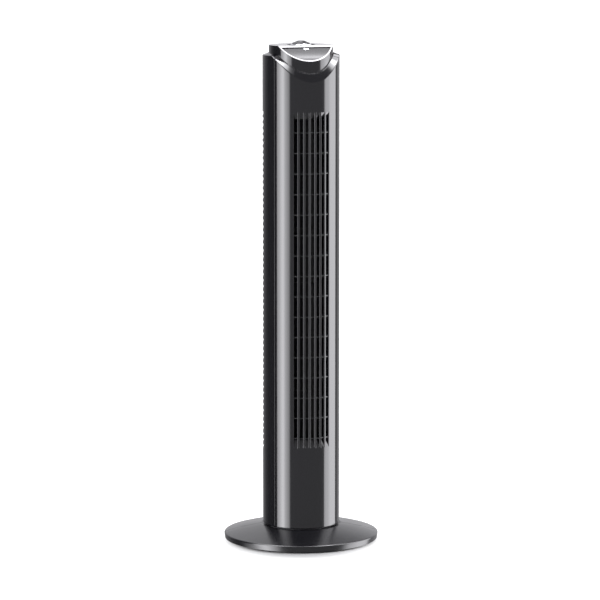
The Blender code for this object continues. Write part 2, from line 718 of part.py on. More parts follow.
def motor_parts():
    """The drive motor under the wheel, on the wheel's axis."""
    here = (0.0, WHEEL_Y, 0.0)
    bracket = bracket_ring("motor_bracket", MOTOR_BRACKET_Z, True)
    hole(bracket, 10.0, 100.0, 130.0, 24, location=here)
    upper = turned(
        "motor_end_cap_upper",
        [(6.3, 121.0), (8.6, 121.0), (8.6, 116.0), (37.5, 116.0), (MOTOR_RADIUS, 114.5),
         (MOTOR_RADIUS, 104.3), (37.0, 104.3), (37.0, 113.6), (8.6, 113.6), (8.6, 108.0), (6.3, 108.0)],
        "laminations", TOWER, 20, True, location=here)
    lower = turned(
        "motor_end_cap_lower",
        [(6.3, 79.0), (8.6, 79.0), (8.6, 74.4), (37.0, 74.4), (37.0, 83.7), (MOTOR_RADIUS, 83.7),
         (MOTOR_RADIUS, 73.5), (37.5, 72.0), (8.6, 72.0), (8.6, 69.0), (6.3, 69.0)],
        "laminations", TOWER, 20, True, location=here)
    for side, word in ((-1, "left"), (1, "right")):
        spot = (side * 30.0, WHEEL_Y, 0.0)
        hole(bracket, 2.0, 100.0, 130.0, 8, location=spot)
        hole(upper, 2.0, 112.0, 120.0, 8, location=spot)
        screw(
            "motor_screw_" + word, TOWER, shank=(1.6, 7.0), head=(3.2, 2.2),
            location=(side * 30.0, WHEEL_Y, MOTOR_BRACKET_Z + 3.0 + GAP))
    tube("motor_bush_upper", SHAFT_RADIUS + GAP, 6.0, 109.0, 120.5, "bronze", TOWER, 16, location=here)
    tube("motor_bush_lower", SHAFT_RADIUS + GAP, 6.0, 69.5, 78.5, "bronze", TOWER, 16, location=here)
    tube("motor_stator", 21.5, MOTOR_RADIUS, 84.0, 104.0, "laminations", TOWER, 20, location=here)
    tube("motor_winding_upper", 23.5, 35.5, 104.3, 111.5, "copper", TOWER, 20, location=here)
    tube("motor_winding_lower", 23.5, 35.5, 76.5, 83.7, "copper", TOWER, 20, location=here)
    tube("motor_rotor", SHAFT_RADIUS + GAP, 21.0, 83.0, 105.0, "laminations", ROTOR, 20)
    rod("drive_shaft", SHAFT_RADIUS, 66.5, 150.0, "steel", ROTOR)
    turned(
        "coupling_hub",
        [(3.3, 149.5), (8.0, 149.5), (8.0, 143.7), (11.0, 143.7), (11.0, 128.0), (3.3, 128.0)],
        "rubber", ROTOR, 16, True)


def wheel():
    """The cross-flow wheel: rows of blades between ring plates."""
    end = [
        (8.3, WHEEL_BOTTOM + 2.2), (WHEEL_RADIUS, WHEEL_BOTTOM + 2.2), (WHEEL_RADIUS, WHEEL_BOTTOM),
        (8.3, WHEEL_BOTTOM)]
    impeller = turned("impeller", end, "matte_black", ROTOR, 28, True)
    pitch = (WHEEL_TOP - WHEEL_BOTTOM - 2.2) / WHEEL_SECTIONS
    for index in range(1, WHEEL_SECTIONS):
        level = WHEEL_BOTTOM + index * pitch
        ring = tube("wheel_ring_%d" % index, 25.0, WHEEL_RADIUS, level, level + 2.2, None, ROTOR, 28)
        combine(impeller, ring, "UNION")
    cap = turned(
        "wheel_cap",
        [(3.3, WHEEL_TOP), (WHEEL_RADIUS, WHEEL_TOP), (WHEEL_RADIUS, WHEEL_TOP - 2.2),
         (8.0, WHEEL_TOP - 2.2), (8.0, WHEEL_TOP - 12.0), (3.3, WHEEL_TOP - 12.0)],
        None, ROTOR, 28, True)
    combine(impeller, cap, "UNION")
    blades = bmesh.new()
    for index in range(BLADE_COUNT):
        turn = math.tau * (index + 0.5) / BLADE_COUNT
        made = add_box(blades, (-0.7, 26.0, WHEEL_BOTTOM + 1.0), (0.7, 32.4, WHEEL_TOP - 1.0))
        for vert in made:
            lean = (vert.co.y - 29.2) * 0.55
            x, y = vert.co.x + lean, vert.co.y
            vert.co.x = x * math.cos(turn) - y * math.sin(turn)
            vert.co.y = x * math.sin(turn) + y * math.cos(turn)
    blades_mesh = to_mesh("wheel_blades", blades)
    combine(impeller, place("wheel_blades", blades_mesh, None, ROTOR), "UNION")
    rod("stub_shaft", SHAFT_RADIUS, WHEEL_TOP - 11.5, 646.0, "steel", ROTOR)


def upper_bearing():
    """The bracket over the wheel, with a bush in a rubber seat."""
    here = (0.0, WHEEL_Y, 0.0)
    bracket = bracket_ring("upper_bracket", UPPER_BRACKET_Z, False)
    hole(bracket, 11.3, 620.0, 640.0, 24, location=here)
    turned(
        "bush_seat",
        [(6.8, 641.0), (14.0, 641.0), (14.0, 637.3), (11.0, 637.3), (11.0, 633.7), (14.0, 633.7),
         (14.0, 630.5), (6.8, 630.5)],
        "rubber", TOWER, 16, True, location=here)
    tube("upper_bush", SHAFT_RADIUS + GAP, 6.5, 631.0, 640.5, "bronze", TOWER, 16, location=here)


def around_wheel(radius, angle):
    """A point at a radius from the wheel's axis; the angle starts at +X and turns towards +Y."""
    turn = math.radians(angle)
    return (radius * math.cos(turn), WHEEL_Y + radius * math.sin(turn))


def duct_parts():
    """The scroll and the tongue that lead the air from the wheel to the grille."""
    bottom = 124.0
    top = UPPER_BRACKET_Z - 3.9
    path = []
    for step in range(11):
        angle = 150.0 + 9.0 * step
        path.append(around_wheel(35.6 + 0.105 * (step * step), angle))
    path.append((-27.2, -40.5))
    extruded("air_guide", wall_outline(path, 2.0), bottom, top, "matte_black", TOWER)
    tongue = [(27.0, -41.5), (24.0, -30.0), (25.5, -20.0), (32.0, -20.5), (49.0, -19.0)]
    extruded("air_tongue", wall_outline(tongue, 2.0), bottom, top, "matte_black", TOWER)


# Swing drive ----------------------------------------------------------------------------


def arm_outline(length, big, small):
    """Outline of an arm with round ends of two radii, from the origin along +Y."""
    tangent = math.asin((big - small) / length)
    far = [tangent + (math.pi - 2.0 * tangent) * step / 8.0 for step in range(9)]
    near = [math.pi - tangent + (math.pi + 2.0 * tangent) * step / 12.0 for step in range(13)]
    points = [(small * math.cos(turn), length + small * math.sin(turn)) for turn in far]
    return points + [(big * math.cos(turn), big * math.sin(turn)) for turn in near]


def swing_parts():
    """The swing motor on the turntable, and its crank under it."""
    here = (0.0, CRANK_OFFSET, 0.0)
    motor = turned(
        "swing_motor",
        [(0.0, SWING_MOTOR_TOP), (SWING_MOTOR_RADIUS - 1.5, SWING_MOTOR_TOP),
         (SWING_MOTOR_RADIUS, SWING_MOTOR_TOP - 1.5), (SWING_MOTOR_RADIUS, SWING_MOTOR_BOTTOM),
         (0.0, SWING_MOTOR_BOTTOM)],
        "steel", TOWER, 18, location=here)
    ears = box(
        "swing_motor_ears", (-34.0, CRANK_OFFSET - 4.0, SWING_MOTOR_BOTTOM + 0.2),
        (34.0, CRANK_OFFSET + 4.0, SWING_MOTOR_BOTTOM + 1.4), None, TOWER)
    combine(motor, ears, "UNION")
    hole(motor, 3.4, 35.0, 48.0, location=here)
    for side, word in ((-1, "left"), (1, "right")):
        spot = (side * SWING_EAR, CRANK_OFFSET, 0.0)
        hole(motor, 1.7, 35.0, 46.0, 8, location=spot)
        screw(
            "swing_motor_screw_" + word, TOWER, shank=(1.4, 8.0),
            location=(spot[0], spot[1], SWING_MOTOR_BOTTOM + 1.4 + GAP))
    arm = extruded("crank_arm", arm_outline(CRANK_RADIUS, 6.5, 3.6), 19.5, 24.0, "white_plastic", CRANK)
    pin_spot = (0.0, CRANK_RADIUS, 0.0)
    combine(arm, rod("crank_pin", PIN_RADIUS, 11.0, 23.0, None, CRANK, 16, location=pin_spot), "UNION")
    hole(arm, 3.3, 15.0, 30.0)
    rod("crank_shaft", SHAFT_RADIUS, 19.8, 47.5, "steel", CRANK)
    capacitor = box("capacitor", (-17.0, -41.0, 31.0), (17.0, -23.0, 57.0), "dark_plastic", TOWER)
    bevel = capacitor.modifiers.new("edges", "BEVEL")
    bevel.width = 1.5 * MM
    bevel.segments = 1


def bake(obj):
    """Turn an object's modifiers into its mesh, and shade its round faces smooth."""
    ready = obj.evaluated_get(bpy.context.evaluated_depsgraph_get())
    mesh = bpy.data.meshes.new_from_object(ready)
    obj.modifiers.clear()
    obj.data = mesh
    mesh.shade_smooth()
    mesh.set_sharp_from_angle(angle=math.radians(35.0))


base_parts()
casing_parts()
control_parts()
motor_parts()
wheel()
upper_bearing()
duct_parts()
swing_parts()
for piece in [obj for obj in PARTS.objects if obj.type == "MESH"]:
    bake(piece)
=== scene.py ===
"""Looks of the tower fan: fine shells, grille, base, cap and knob, procedural materials, studio."""
import json
import math

import bmesh
import bpy
from mathutils import Matrix, Vector


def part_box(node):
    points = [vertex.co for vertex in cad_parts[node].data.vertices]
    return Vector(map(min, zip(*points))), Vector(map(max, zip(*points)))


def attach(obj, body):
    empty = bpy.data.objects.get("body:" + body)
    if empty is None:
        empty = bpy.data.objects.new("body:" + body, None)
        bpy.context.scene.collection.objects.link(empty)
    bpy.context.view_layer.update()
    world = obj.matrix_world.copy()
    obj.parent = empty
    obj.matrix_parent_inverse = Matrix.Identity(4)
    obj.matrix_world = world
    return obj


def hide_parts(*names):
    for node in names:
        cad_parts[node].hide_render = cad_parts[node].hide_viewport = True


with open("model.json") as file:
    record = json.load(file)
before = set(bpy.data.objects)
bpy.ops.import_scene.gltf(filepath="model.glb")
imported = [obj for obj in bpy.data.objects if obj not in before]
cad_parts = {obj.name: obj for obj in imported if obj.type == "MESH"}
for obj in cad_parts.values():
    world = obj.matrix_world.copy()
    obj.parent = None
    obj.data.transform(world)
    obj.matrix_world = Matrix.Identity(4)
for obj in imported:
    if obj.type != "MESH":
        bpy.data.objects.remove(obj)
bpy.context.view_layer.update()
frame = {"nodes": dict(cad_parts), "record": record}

MM = 0.001

# Driving dimensions in millimetres. The wheel has more blades and sections than the CAD model's
TOWER_RADIUS = 56.5
SEAM_ANGLE = 60.0
NECK_RADIUS = 47.2
COLLAR_LOW_OUTER = 680.0
COLLAR_LOW_INNER = 693.5
COLLAR_CURL_OUTER = 0.0142
COLLAR_CURL_INNER = 0.0138
SLOT_COUNT = 7
SLOT_STEP = 8.5
SLOT_HALF = 2.5
SLOT_DEPTH = 5.5
GRILLE_BOTTOM = 158.5
GRILLE_TOP = 627.0
GRILLE_BOTTOM_FADE = 144.5
GRILLE_TOP_FADE = 637.6
RIB_COUNT = 16
RIB_TOP_Z = 607.8
RIB_STEP = 29.91
VENT_COUNT = 57
VENT_TOP_Z = 633.0
VENT_STEP = 8.81
VENT_HALF = 2.2
VENT_FIRST = 95.5
VENT_LAST = 164.5
BASE_TURN = -15.0
BASE_RADIUS = 114.0
BASE_RIM_BOTTOM = 2.2
BASE_RIM_TAPER = 1.2
BASE_CROWN = (58.6, 23.4)
BASE_WALL = 2.4
BASE_SKIN_POINTS = 30
BASE_RIM_TOP = 10.0
FOOT_CIRCLE = 94.0
PLATE_SCREW_CIRCLE = 64.0
SHELL_SCREW_SEAT = 54.6
PANEL_CHORD = 22.0
PANEL_DROP = 21.9
PANEL_SAG = 5.6
DIAL_WELL = 20.8
WHEEL_Y = 8.0
WHEEL_RADIUS = 33.0
BLADE_COUNT = 30
WHEEL_SECTIONS = 6
WHEEL_PLATE = 2.2

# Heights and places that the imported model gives, in millimetres
TOWER_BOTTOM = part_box("front_shell")[0].z / MM
SHOULDER_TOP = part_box("rear_shell")[1].z / MM
SHOULDER_Z = SHOULDER_TOP - 3.0
CAP_BOTTOM, CAP_TOP = (corner.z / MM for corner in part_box("top_cap"))
KNOB_LOW, KNOB_HIGH = (corner.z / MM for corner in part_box("speed_knob"))
SKIRT_LOW, SKIRT_HIGH = (corner.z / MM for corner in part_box("knob_skirt"))
BEZEL_LOW, BEZEL_HIGH = (corner.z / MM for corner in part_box("dial_bezel"))
WHEEL_LOW, WHEEL_HIGH = (corner.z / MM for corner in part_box("impeller"))
PLATE_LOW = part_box("swivel_plate")[0].z / MM

MATERIALS = {}


# Materials ------------------------------------------------------------------------------


class Finish:
    """A Principled material under construction, with helpers for the nodes that feed it."""

    def __init__(self, name, colour, roughness, metallic=0.0):
        self.material = bpy.data.materials.new(name)
        self.material.use_nodes = True
        self.tree = self.material.node_tree
        self.shader = self.tree.nodes["Principled BSDF"]
        self.shader.inputs["Base Color"].default_value = (*colour, 1.0)
        self.shader.inputs["Roughness"].default_value = roughness
        self.shader.inputs["Metallic"].default_value = metallic
        self.place = self.tree.nodes.new("ShaderNodeTexCoord").outputs["Object"]

    def node(self, kind, **settings):
        """Add a node and set its plain attributes."""
        made = self.tree.nodes.new(kind)
        for key, value in settings.items():
            setattr(made, key, value)
        return made

    def noise(self, scale, detail=2.0, stretch=(1.0, 1.0, 1.0)):
        """Noise on the object's own coordinates, in features a metre."""
        mapping = self.node("ShaderNodeMapping")
        mapping.inputs["Scale"].default_value = stretch
        noise = self.node("ShaderNodeTexNoise")
        noise.inputs["Scale"].default_value = scale
        noise.inputs["Detail"].default_value = detail
        self.tree.links.new(self.place, mapping.inputs["Vector"])
        self.tree.links.new(mapping.outputs["Vector"], noise.inputs["Vector"])
        return noise.outputs["Fac"]

    def spread(self, value, low, high):
        """Map 0.3 to 0.7 of a noise onto a range."""
        ranged = self.node("ShaderNodeMapRange")
        ranged.inputs["From Min"].default_value = 0.3
        ranged.inputs["From Max"].default_value = 0.7
        ranged.inputs["To Min"].default_value = low
        ranged.inputs["To Max"].default_value = high
        self.tree.links.new(value, ranged.inputs["Value"])
        return ranged.outputs["Result"]

    def rough(self, value, low, high):
        """Vary the roughness with a noise."""
        self.tree.links.new(self.spread(value, low, high), self.shader.inputs["Roughness"])

    def colours(self, value, dark, light):
        """Vary the colour with a noise."""
        ramp = self.node("ShaderNodeValToRGB")
        ramp.color_ramp.elements[0].position = 0.3
        ramp.color_ramp.elements[0].color = (*dark, 1.0)
        ramp.color_ramp.elements[1].position = 0.7
        ramp.color_ramp.elements[1].color = (*light, 1.0)
        self.tree.links.new(value, ramp.inputs["Fac"])
        self.tree.links.new(ramp.outputs["Color"], self.shader.inputs["Base Color"])

    def bump(self, value, strength, distance):
        """Add a bump. A later bump is laid on the earlier ones."""
        bump = self.node("ShaderNodeBump")
        bump.inputs["Strength"].default_value = strength
        bump.inputs["Distance"].default_value = distance
        before = self.shader.inputs["Normal"].links
        if before:
            self.tree.links.new(before[0].from_socket, bump.inputs["Normal"])
        self.tree.links.new(value, bump.inputs["Height"])
        self.tree.links.new(bump.outputs["Normal"], self.shader.inputs["Normal"])

    def set(self, **values):
        """Set sockets that are the same all over."""
        for key, value in values.items():
            self.shader.inputs[key.replace("_", " ")].default_value = value


def gloss_plastic(name, colour, low, high, shine=0.5):
    """Moulded gloss plastic: a trace of flow ripple and of handling haze."""
    finish = Finish(name, colour, low)
    finish.set(Specular_IOR_Level=shine)
    finish.rough(finish.noise(22.0, 4.0), low, high)
    finish.colours(
        finish.noise(9.0, 3.0), tuple(value * 0.93 for value in colour),
        tuple(value * 1.07 for value in colour))
    finish.bump(finish.noise(260.0, 1.0), 0.012, 0.0003)
    return finish.material


def matte_plastic(name, colour, roughness, grain=0.25):
    """Spark-eroded matte plastic."""
    finish = Finish(name, colour, roughness)
    finish.rough(finish.noise(180.0, 3.0), roughness - 0.06, roughness + 0.06)
    finish.colours(
        finish.noise(40.0, 3.0), tuple(value * 0.85 for value in colour),
        tuple(value * 1.15 for value in colour))
    finish.bump(finish.noise(2600.0, 3.0), grain, 0.00012)
    return finish.material


def rubber(name):
    """Dull rubber with dust in its grain."""
    finish = Finish(name, (0.02, 0.02, 0.02), 0.8)
    finish.colours(finish.noise(120.0, 4.0), (0.014, 0.014, 0.014), (0.034, 0.033, 0.031))
    finish.rough(finish.noise(300.0, 3.0), 0.68, 0.9)
    finish.bump(finish.noise(1800.0, 4.0), 0.35, 0.00015)
    return finish.material


def metal(name, colour, low, high, stretch=(1.0, 1.0, 18.0), scale=260.0):
    """Drawn or ground metal: fine lines, uneven polish and slight staining."""
    finish = Finish(name, colour, low, 1.0)
    finish.rough(finish.noise(60.0, 4.0), low, high)
    finish.colours(
        finish.noise(35.0, 4.0), tuple(value * 0.82 for value in colour), colour)
    finish.bump(finish.noise(scale, 2.0, stretch), 0.08, 0.0001)
    return finish.material


def layered(name, colour, bands, direction):
    """Stacked sheets or wound wire: ridges at a pitch along one axis."""
    finish = Finish(name, colour, 0.4, 1.0)
    wave = finish.node("ShaderNodeTexWave", bands_direction=direction)
    wave.inputs["Scale"].default_value = bands
    wave.inputs["Distortion"].default_value = 0.4
    wave.inputs["Detail Scale"].default_value = 40.0
    finish.tree.links.new(finish.place, wave.inputs["Vector"])
    # Painted shade: the colour is half as bright in the grooves between the ridges, where the bump sinks
    finish.colours(wave.outputs["Fac"], tuple(value * 0.5 for value in colour), colour)
    finish.rough(finish.noise(90.0, 3.0), 0.32, 0.5)
    finish.bump(wave.outputs["Fac"], 0.5, 0.0003)
    return finish.material


def make_materials():
    """One material for each slot of the record."""
    charcoal = (0.003, 0.003, 0.0038)
    made = {
        "casing_gloss": gloss_plastic("casing_gloss", charcoal, 0.07, 0.11),
        "base_gloss": gloss_plastic("base_gloss", charcoal, 0.2, 0.26),
        "panel_gloss": gloss_plastic("panel_gloss", charcoal, 0.1, 0.15, 0.2),
        "knob_dark": gloss_plastic("knob_dark", (0.006, 0.006, 0.007), 0.16, 0.24),
        "knob_silver": metal("knob_silver", (0.78, 0.78, 0.8), 0.16, 0.26, (1.0, 1.0, 1.0), 900.0),
        "dial_dark": matte_plastic("dial_dark", (0.016, 0.016, 0.018), 0.42),
        "inner_plastic": matte_plastic("inner_plastic", (0.03, 0.03, 0.034), 0.5),
        # The duct and the wheel are black plastic, made darker than the other inner plastic: painted shade
        # inside the grille's slots
        "duct_plastic": matte_plastic("duct_plastic", (0.002, 0.002, 0.0025), 0.7),
        "wheel_plastic": matte_plastic("wheel_plastic", (0.002, 0.002, 0.0025), 0.65),
        "white_plastic": matte_plastic("white_plastic", (0.68, 0.67, 0.63), 0.45),
        "rubber": rubber("rubber"),
        "screw_steel": metal("screw_steel", (0.46, 0.46, 0.48), 0.24, 0.4, (1.0, 1.0, 1.0)),
        "steel": metal("steel", (0.55, 0.55, 0.57), 0.2, 0.36),
        "motor_steel": layered("motor_steel", (0.3, 0.3, 0.32), 320.0, "Z"),
        "copper": layered("copper", (0.62, 0.27, 0.12), 210.0, "DIAGONAL"),
        "bronze": metal("bronze", (0.5, 0.34, 0.16), 0.35, 0.5, (1.0, 1.0, 1.0), 1200.0),
    }
    MATERIALS.update(made)
    slots = {part["node"]: part["material_slot"] for part in frame["record"]["subparts"]}
    for name, obj in frame["nodes"].items():
        obj.data.materials.clear()
        obj.data.materials.append(MATERIALS[slots[name]])


# Shapes ---------------------------------------------------------------------------------


def polar(radius, angle, height):
    """A point in metres at an angle from the front, which is -Y."""
    turn = math.radians(angle)
    return Vector((radius * math.sin(turn), -radius * math.cos(turn), height)) * MM


def spread(first, last, steps):
    """Evenly spaced values, with both ends."""
    return [first + (last - first) * step / steps for step in range(steps + 1)]


def fillet(before, corner, after, steps=4):
    """Points of a rounded corner between two points, as a quadratic curve."""
    points = []
    for t in spread(0.0, 1.0, steps):
        points.append(tuple(
            (1 - t) ** 2 * a + 2 * t * (1 - t) * b + t * t * c
            for a, b, c in zip(before, corner, after)))
    return points


def piece(name, shape, slot, body, nodes, smooth=40.0):
    """Make a bmesh a finished piece that rides on a body and stands for CAD nodes."""
    mesh = bpy.data.meshes.new(name)
    shape.to_mesh(mesh)
    shape.free()
    obj = bpy.data.objects.new(name, mesh)
    bpy.context.scene.collection.objects.link(obj)
    mesh.materials.append(MATERIALS[slot])
    mesh.shade_smooth()
    mesh.set_sharp_from_angle(angle=math.radians(smooth))
    even_normals(obj)
    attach(obj, body)
    if nodes:
        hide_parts(*nodes)
    return obj


def even_normals(obj):
    """Let the large faces keep their own direction beside rounded edges."""
    weighted = obj.modifiers.new("even_normals", "WEIGHTED_NORMAL")
    weighted.keep_sharp = True
    weighted.weight = 100


def add_grid(shape, columns, keep=None, wrap=False):
    """Faces between neighbouring columns of points. keep(column, row) may leave cells out."""
    verts = [[shape.verts.new(point) for point in column] for column in columns]
    count = len(verts)
    for index in range(count if wrap else count - 1):
        near = verts[index]
        far = verts[(index + 1) % count]
        for row in range(len(near) - 1):
            if keep is None or keep(index, row):
                shape.faces.new((near[row], near[row + 1], far[row + 1], far[row]))
    loose = [vert for vert in shape.verts if not vert.link_faces]
    bmesh.ops.delete(shape, geom=loose, context="VERTS")


def thicken(obj, thickness):
    """Give a sheet its wall, inwards from its faces."""
    solid = obj.modifiers.new("wall", "SOLIDIFY")
    solid.thickness = thickness * MM
    solid.offset = -1.0
    obj.modifiers.move(len(obj.modifiers) - 1, 0)
    return obj


def add_ring(shape, section, angles, closed=True, centre=(0.0, 0.0)):
    """Carry a section round Z. section(angle) gives a loop of (radius, height), clockwise."""
    offset = Vector((centre[0] * MM, centre[1] * MM, 0.0))
    columns = []
    for angle in angles:
        loop = [polar(radius, angle, height) + offset for radius, height in section(angle)]
        columns.append([shape.verts.new(point) for point in loop])
    count = len(columns)
    for index in range(count if closed else count - 1):
        near = columns[index]
        far = columns[(index + 1) % count]
        for row in range(len(near)):
            after = (row + 1) % len(near)
            shape.faces.new((near[row], near[after], far[after], far[row]))
    if not closed:
        shape.faces.new(columns[0][::-1])
        shape.faces.new(columns[-1])


def whole_turn(steps):
    """Angles of a full turn."""
    return [360.0 * step / steps for step in range(steps)]


def add_turned(shape, profile, steps=48, centre=(0.0, 0.0)):
    """A turned solid whose profile starts and ends on the axis."""
    offset = Vector((centre[0] * MM, centre[1] * MM, 0.0))
    top = shape.verts.new(Vector((0.0, 0.0, profile[0][1] * MM)) + offset)
    bottom = shape.verts.new(Vector((0.0, 0.0, profile[-1][1] * MM)) + offset)
    columns = []
    for angle in whole_turn(steps):
        columns.append([
            shape.verts.new(polar(radius, angle, height) + offset)
            for radius, height in profile[1:-1]])
    for index, near in enumerate(columns):
        far = columns[(index + 1) % steps]
        shape.faces.new((top, near[0], far[0]))
        shape.faces.new((bottom, far[-1], near[-1]))
        for row in range(len(near) - 1):
            shape.faces.new((near[row], near[row + 1], far[row + 1], far[row]))


def outward(shape):
    """Point the faces of closed bodies outwards."""
    bmesh.ops.recalc_face_normals(shape, faces=shape.faces)
    return shape


# Column's shells ------------------------------------------------------------------------


def swoop(angle, lowest, radius, curl, highest):
    """Height of an edge that dips at the front and climbs with the sideways distance squared."""
    turn = math.radians(angle)
    if math.cos(turn) <= 0.0:
        return highest
    return min(highest, lowest + curl * (radius * math.sin(turn)) ** 2)


def collar_points(angle, edge_drop):
    """The collar's (radius, height) points, from the skin over the bevel and into the neck."""
    outer = swoop(angle, COLLAR_LOW_OUTER, TOWER_RADIUS, COLLAR_CURL_OUTER, SHOULDER_Z)
    inner = swoop(angle, COLLAR_LOW_INNER, NECK_RADIUS, COLLAR_CURL_INNER, SHOULDER_TOP)
    skin = TOWER_RADIUS - edge_drop
    hole = NECK_RADIUS + 0.5
    run = math.hypot(skin - hole, inner - outer)
    along = ((hole - skin) / run, (inner - outer) / run)
    points = fillet(
        (skin, outer - 0.8), (skin, outer), (skin + along[0] * 0.8, outer + along[1] * 0.8))
    points.append((skin + along[0] * 1.2, outer + along[1] * 1.2))
    points += fillet(
        (hole - along[0] * 0.2, inner - along[1] * 0.2), (hole, inner), (hole, inner - 0.2), 2)
    return points + [(hole, inner - 7.0)]


def foot_points(edge_drop):
    """The wall's lower edge, rounded, from inside to the skin."""
    skin = TOWER_RADIUS - edge_drop
    edge = fillet((skin - 0.8, TOWER_BOTTOM), (skin, TOWER_BOTTOM), (skin, TOWER_BOTTOM + 0.8), 3)
    return [(skin - 1.7, TOWER_BOTTOM)] + edge


SLOT_PROFILE = (
    (3.4, 0.0), (3.15, 0.05), (2.9, 0.2), (2.7, 0.45), (2.57, 0.8), (2.51, 1.4), (SLOT_HALF, SLOT_DEPTH))


def grille_columns():
    """(angle, depth) of the upright lines across the front shell's slots."""
    lines = []
    for index in range(SLOT_COUNT):
        middle = (index - (SLOT_COUNT - 1) / 2.0) * SLOT_STEP
        for offset, depth in SLOT_PROFILE:
            lines.append((middle - math.degrees(offset / TOWER_RADIUS), depth))
        lines.append((middle, SLOT_DEPTH))
        for offset, depth in SLOT_PROFILE[::-1]:
            lines.append((middle + math.degrees(offset / TOWER_RADIUS), depth))
    return lines


def grille_rows():
    """(height, ramp depth) of the level lines of the front shell's wall."""
    steps = (0.0, 0.08, 0.2, 0.35, 0.5, 0.65, 0.8, 0.92, 1.0)
    rows = [(height, 0.0) for height in (50.0, 90.0, 130.0)]
    for step in steps:
        height = GRILLE_BOTTOM_FADE + (GRILLE_BOTTOM - GRILLE_BOTTOM_FADE) * step
        rows.append((height, SLOT_DEPTH * step ** 1.2))
    rows += [(height, SLOT_DEPTH) for height in spread(GRILLE_BOTTOM + 30.0, GRILLE_TOP - 30.0, 14)]
    for step in steps[::-1]:
        height = GRILLE_TOP_FADE - (GRILLE_TOP_FADE - GRILLE_TOP) * step
        rows.append((height, SLOT_DEPTH * step ** 1.2))
    return rows + [(650.0, 0.0), (665.0, 0.0)]


def seam_drops():
    """(degrees from the seam, drop of the skin) that round a shell's upright edge."""
    return [(0.3, 0.5), (0.36, 0.22), (0.5, 0.06), (0.75, 0.0)]


def front_shell():
    """The front of the casing, with the grille moulded in."""
    lines = grille_columns()
    last = lines[-1][0]
    side = [(angle, 0.0, 0.0) for angle in spread(last, SEAM_ANGLE - 0.75, 14)[1:-1]]
    side += [(SEAM_ANGLE - away, 0.0, drop) for away, drop in seam_drops()[::-1]]
    columns = [(-angle, depth, drop) for angle, depth, drop in side[::-1]]
    columns += [(angle, depth, 0.0) for angle, depth in lines]
    columns += side
    rows = grille_rows()
    lead = len(foot_points(0.0))
    points = []
    for angle, depth, drop in columns:
        line = foot_points(drop)
        line += [(TOWER_RADIUS - drop - min(depth, ramp), height) for height, ramp in rows]
        line += collar_points(angle, drop)
        points.append([polar(radius, angle, height) for radius, height in line])

    def keep(column, row):
        if not lead <= row < lead + len(rows) - 1:
            return True
        open_rows = rows[row - lead][1] >= SLOT_DEPTH and rows[row - lead + 1][1] >= SLOT_DEPTH
        open_columns = columns[column][1] >= SLOT_DEPTH and columns[column + 1][1] >= SLOT_DEPTH
        return not (open_rows and open_columns)

    shape = bmesh.new()
    add_grid(shape, points, keep)
    bmesh.ops.reverse_faces(shape, faces=shape.faces)
    skin = piece("front_shell_skin", shape, "casing_gloss", "tower", ["front_shell"])
    thicken(skin, 1.5)
    ribs = bmesh.new()
    outer = TOWER_RADIUS - 1.3
    inner = TOWER_RADIUS - 4.2
    half_width = SLOT_COUNT * SLOT_STEP / 2.0
    for index in range(RIB_COUNT):
        middle = RIB_TOP_Z - index * RIB_STEP

        def section(_angle, middle=middle):
            front = fillet((outer - 0.8, middle + 0.8), (outer, middle + 0.8), (outer, middle), 4)
            front += fillet((outer, middle), (outer, middle - 0.8), (outer - 0.8, middle - 0.8), 4)[1:]
            return front + [(inner, middle - 0.8), (inner, middle + 0.8)]

        add_ring(ribs, section, spread(-half_width, half_width, 30), closed=False)
    piece("grille_ribs", outward(ribs), "casing_gloss", "tower", [])


def rear_columns():
    """(angle, in the vents, drop at the seam) of the upright lines of the rear shell."""
    half = [(SEAM_ANGLE + away, False, drop) for away, drop in seam_drops()]
    half += [(angle, False, 0.0) for angle in spread(SEAM_ANGLE + 0.75, VENT_FIRST - 0.4, 14)[1:]]
    half += [(angle, True, 0.0) for angle in spread(VENT_FIRST, VENT_LAST, 24)]
    half += [(angle, False, 0.0) for angle in spread(VENT_LAST + 0.4, 180.0, 6)]
    mirrored = [(360.0 - angle, vent, drop) for angle, vent, drop in half[-2::-1]]
    return half + mirrored


def rear_rows():
    """(height, at a vent's edge) of the level lines of the rear shell's wall, upwards."""
    rows = [(60.0, 0), (100.0, 0)]
    for index in range(VENT_COUNT)[::-1]:
        middle = VENT_TOP_Z - index * VENT_STEP
        rows.append((middle - VENT_HALF - 0.4, 0))
        rows.append((middle - VENT_HALF, 1))
        rows.append((middle + VENT_HALF, 2))
        rows.append((middle + VENT_HALF + 0.4, 0))
    return rows + [(660.0, 0), (680.0, 0)]


def rear_shell():
    """The back of the casing, with level intake slots either side of a spine."""
    columns = rear_columns()
    rows = rear_rows()
    lead = len(foot_points(0.0))
    points = []
    for angle, vent, drop in columns:
        line = foot_points(drop)
        for height, edge in rows:
            line.append((TOWER_RADIUS - drop - (0.7 if vent and edge else 0.0), height))
        line += collar_points(angle, drop)
        points.append([polar(radius, angle, height) for radius, height in line])

    def keep(column, row):
        if not lead <= row < lead + len(rows) - 1:
            return True
        if rows[row - lead][1] != 1:
            return True
        return not (columns[column][1] and columns[column + 1][1])

    shape = bmesh.new()
    add_grid(shape, points, keep)
    bmesh.ops.reverse_faces(shape, faces=shape.faces)
    skin = piece("rear_shell_skin", shape, "casing_gloss", "tower", ["rear_shell"])
    thicken(skin, 2.2)
    bars = bmesh.new()
    top = VENT_TOP_Z + 8.0
    bottom = VENT_TOP_Z - VENT_COUNT * VENT_STEP
    for angle in (118.0, 141.0, 219.0, 242.0):
        low, high = TOWER_RADIUS - 4.6, TOWER_RADIUS - 1.6
        corners = [(low, top), (high, top), (high, bottom), (low, bottom)]
        add_ring(bars, lambda _angle: corners, (angle - 1.2, angle + 1.2), closed=False)
    piece("rear_shell_bars", outward(bars), "casing_gloss", "tower", [])


# Base -----------------------------------------------------------------------------------


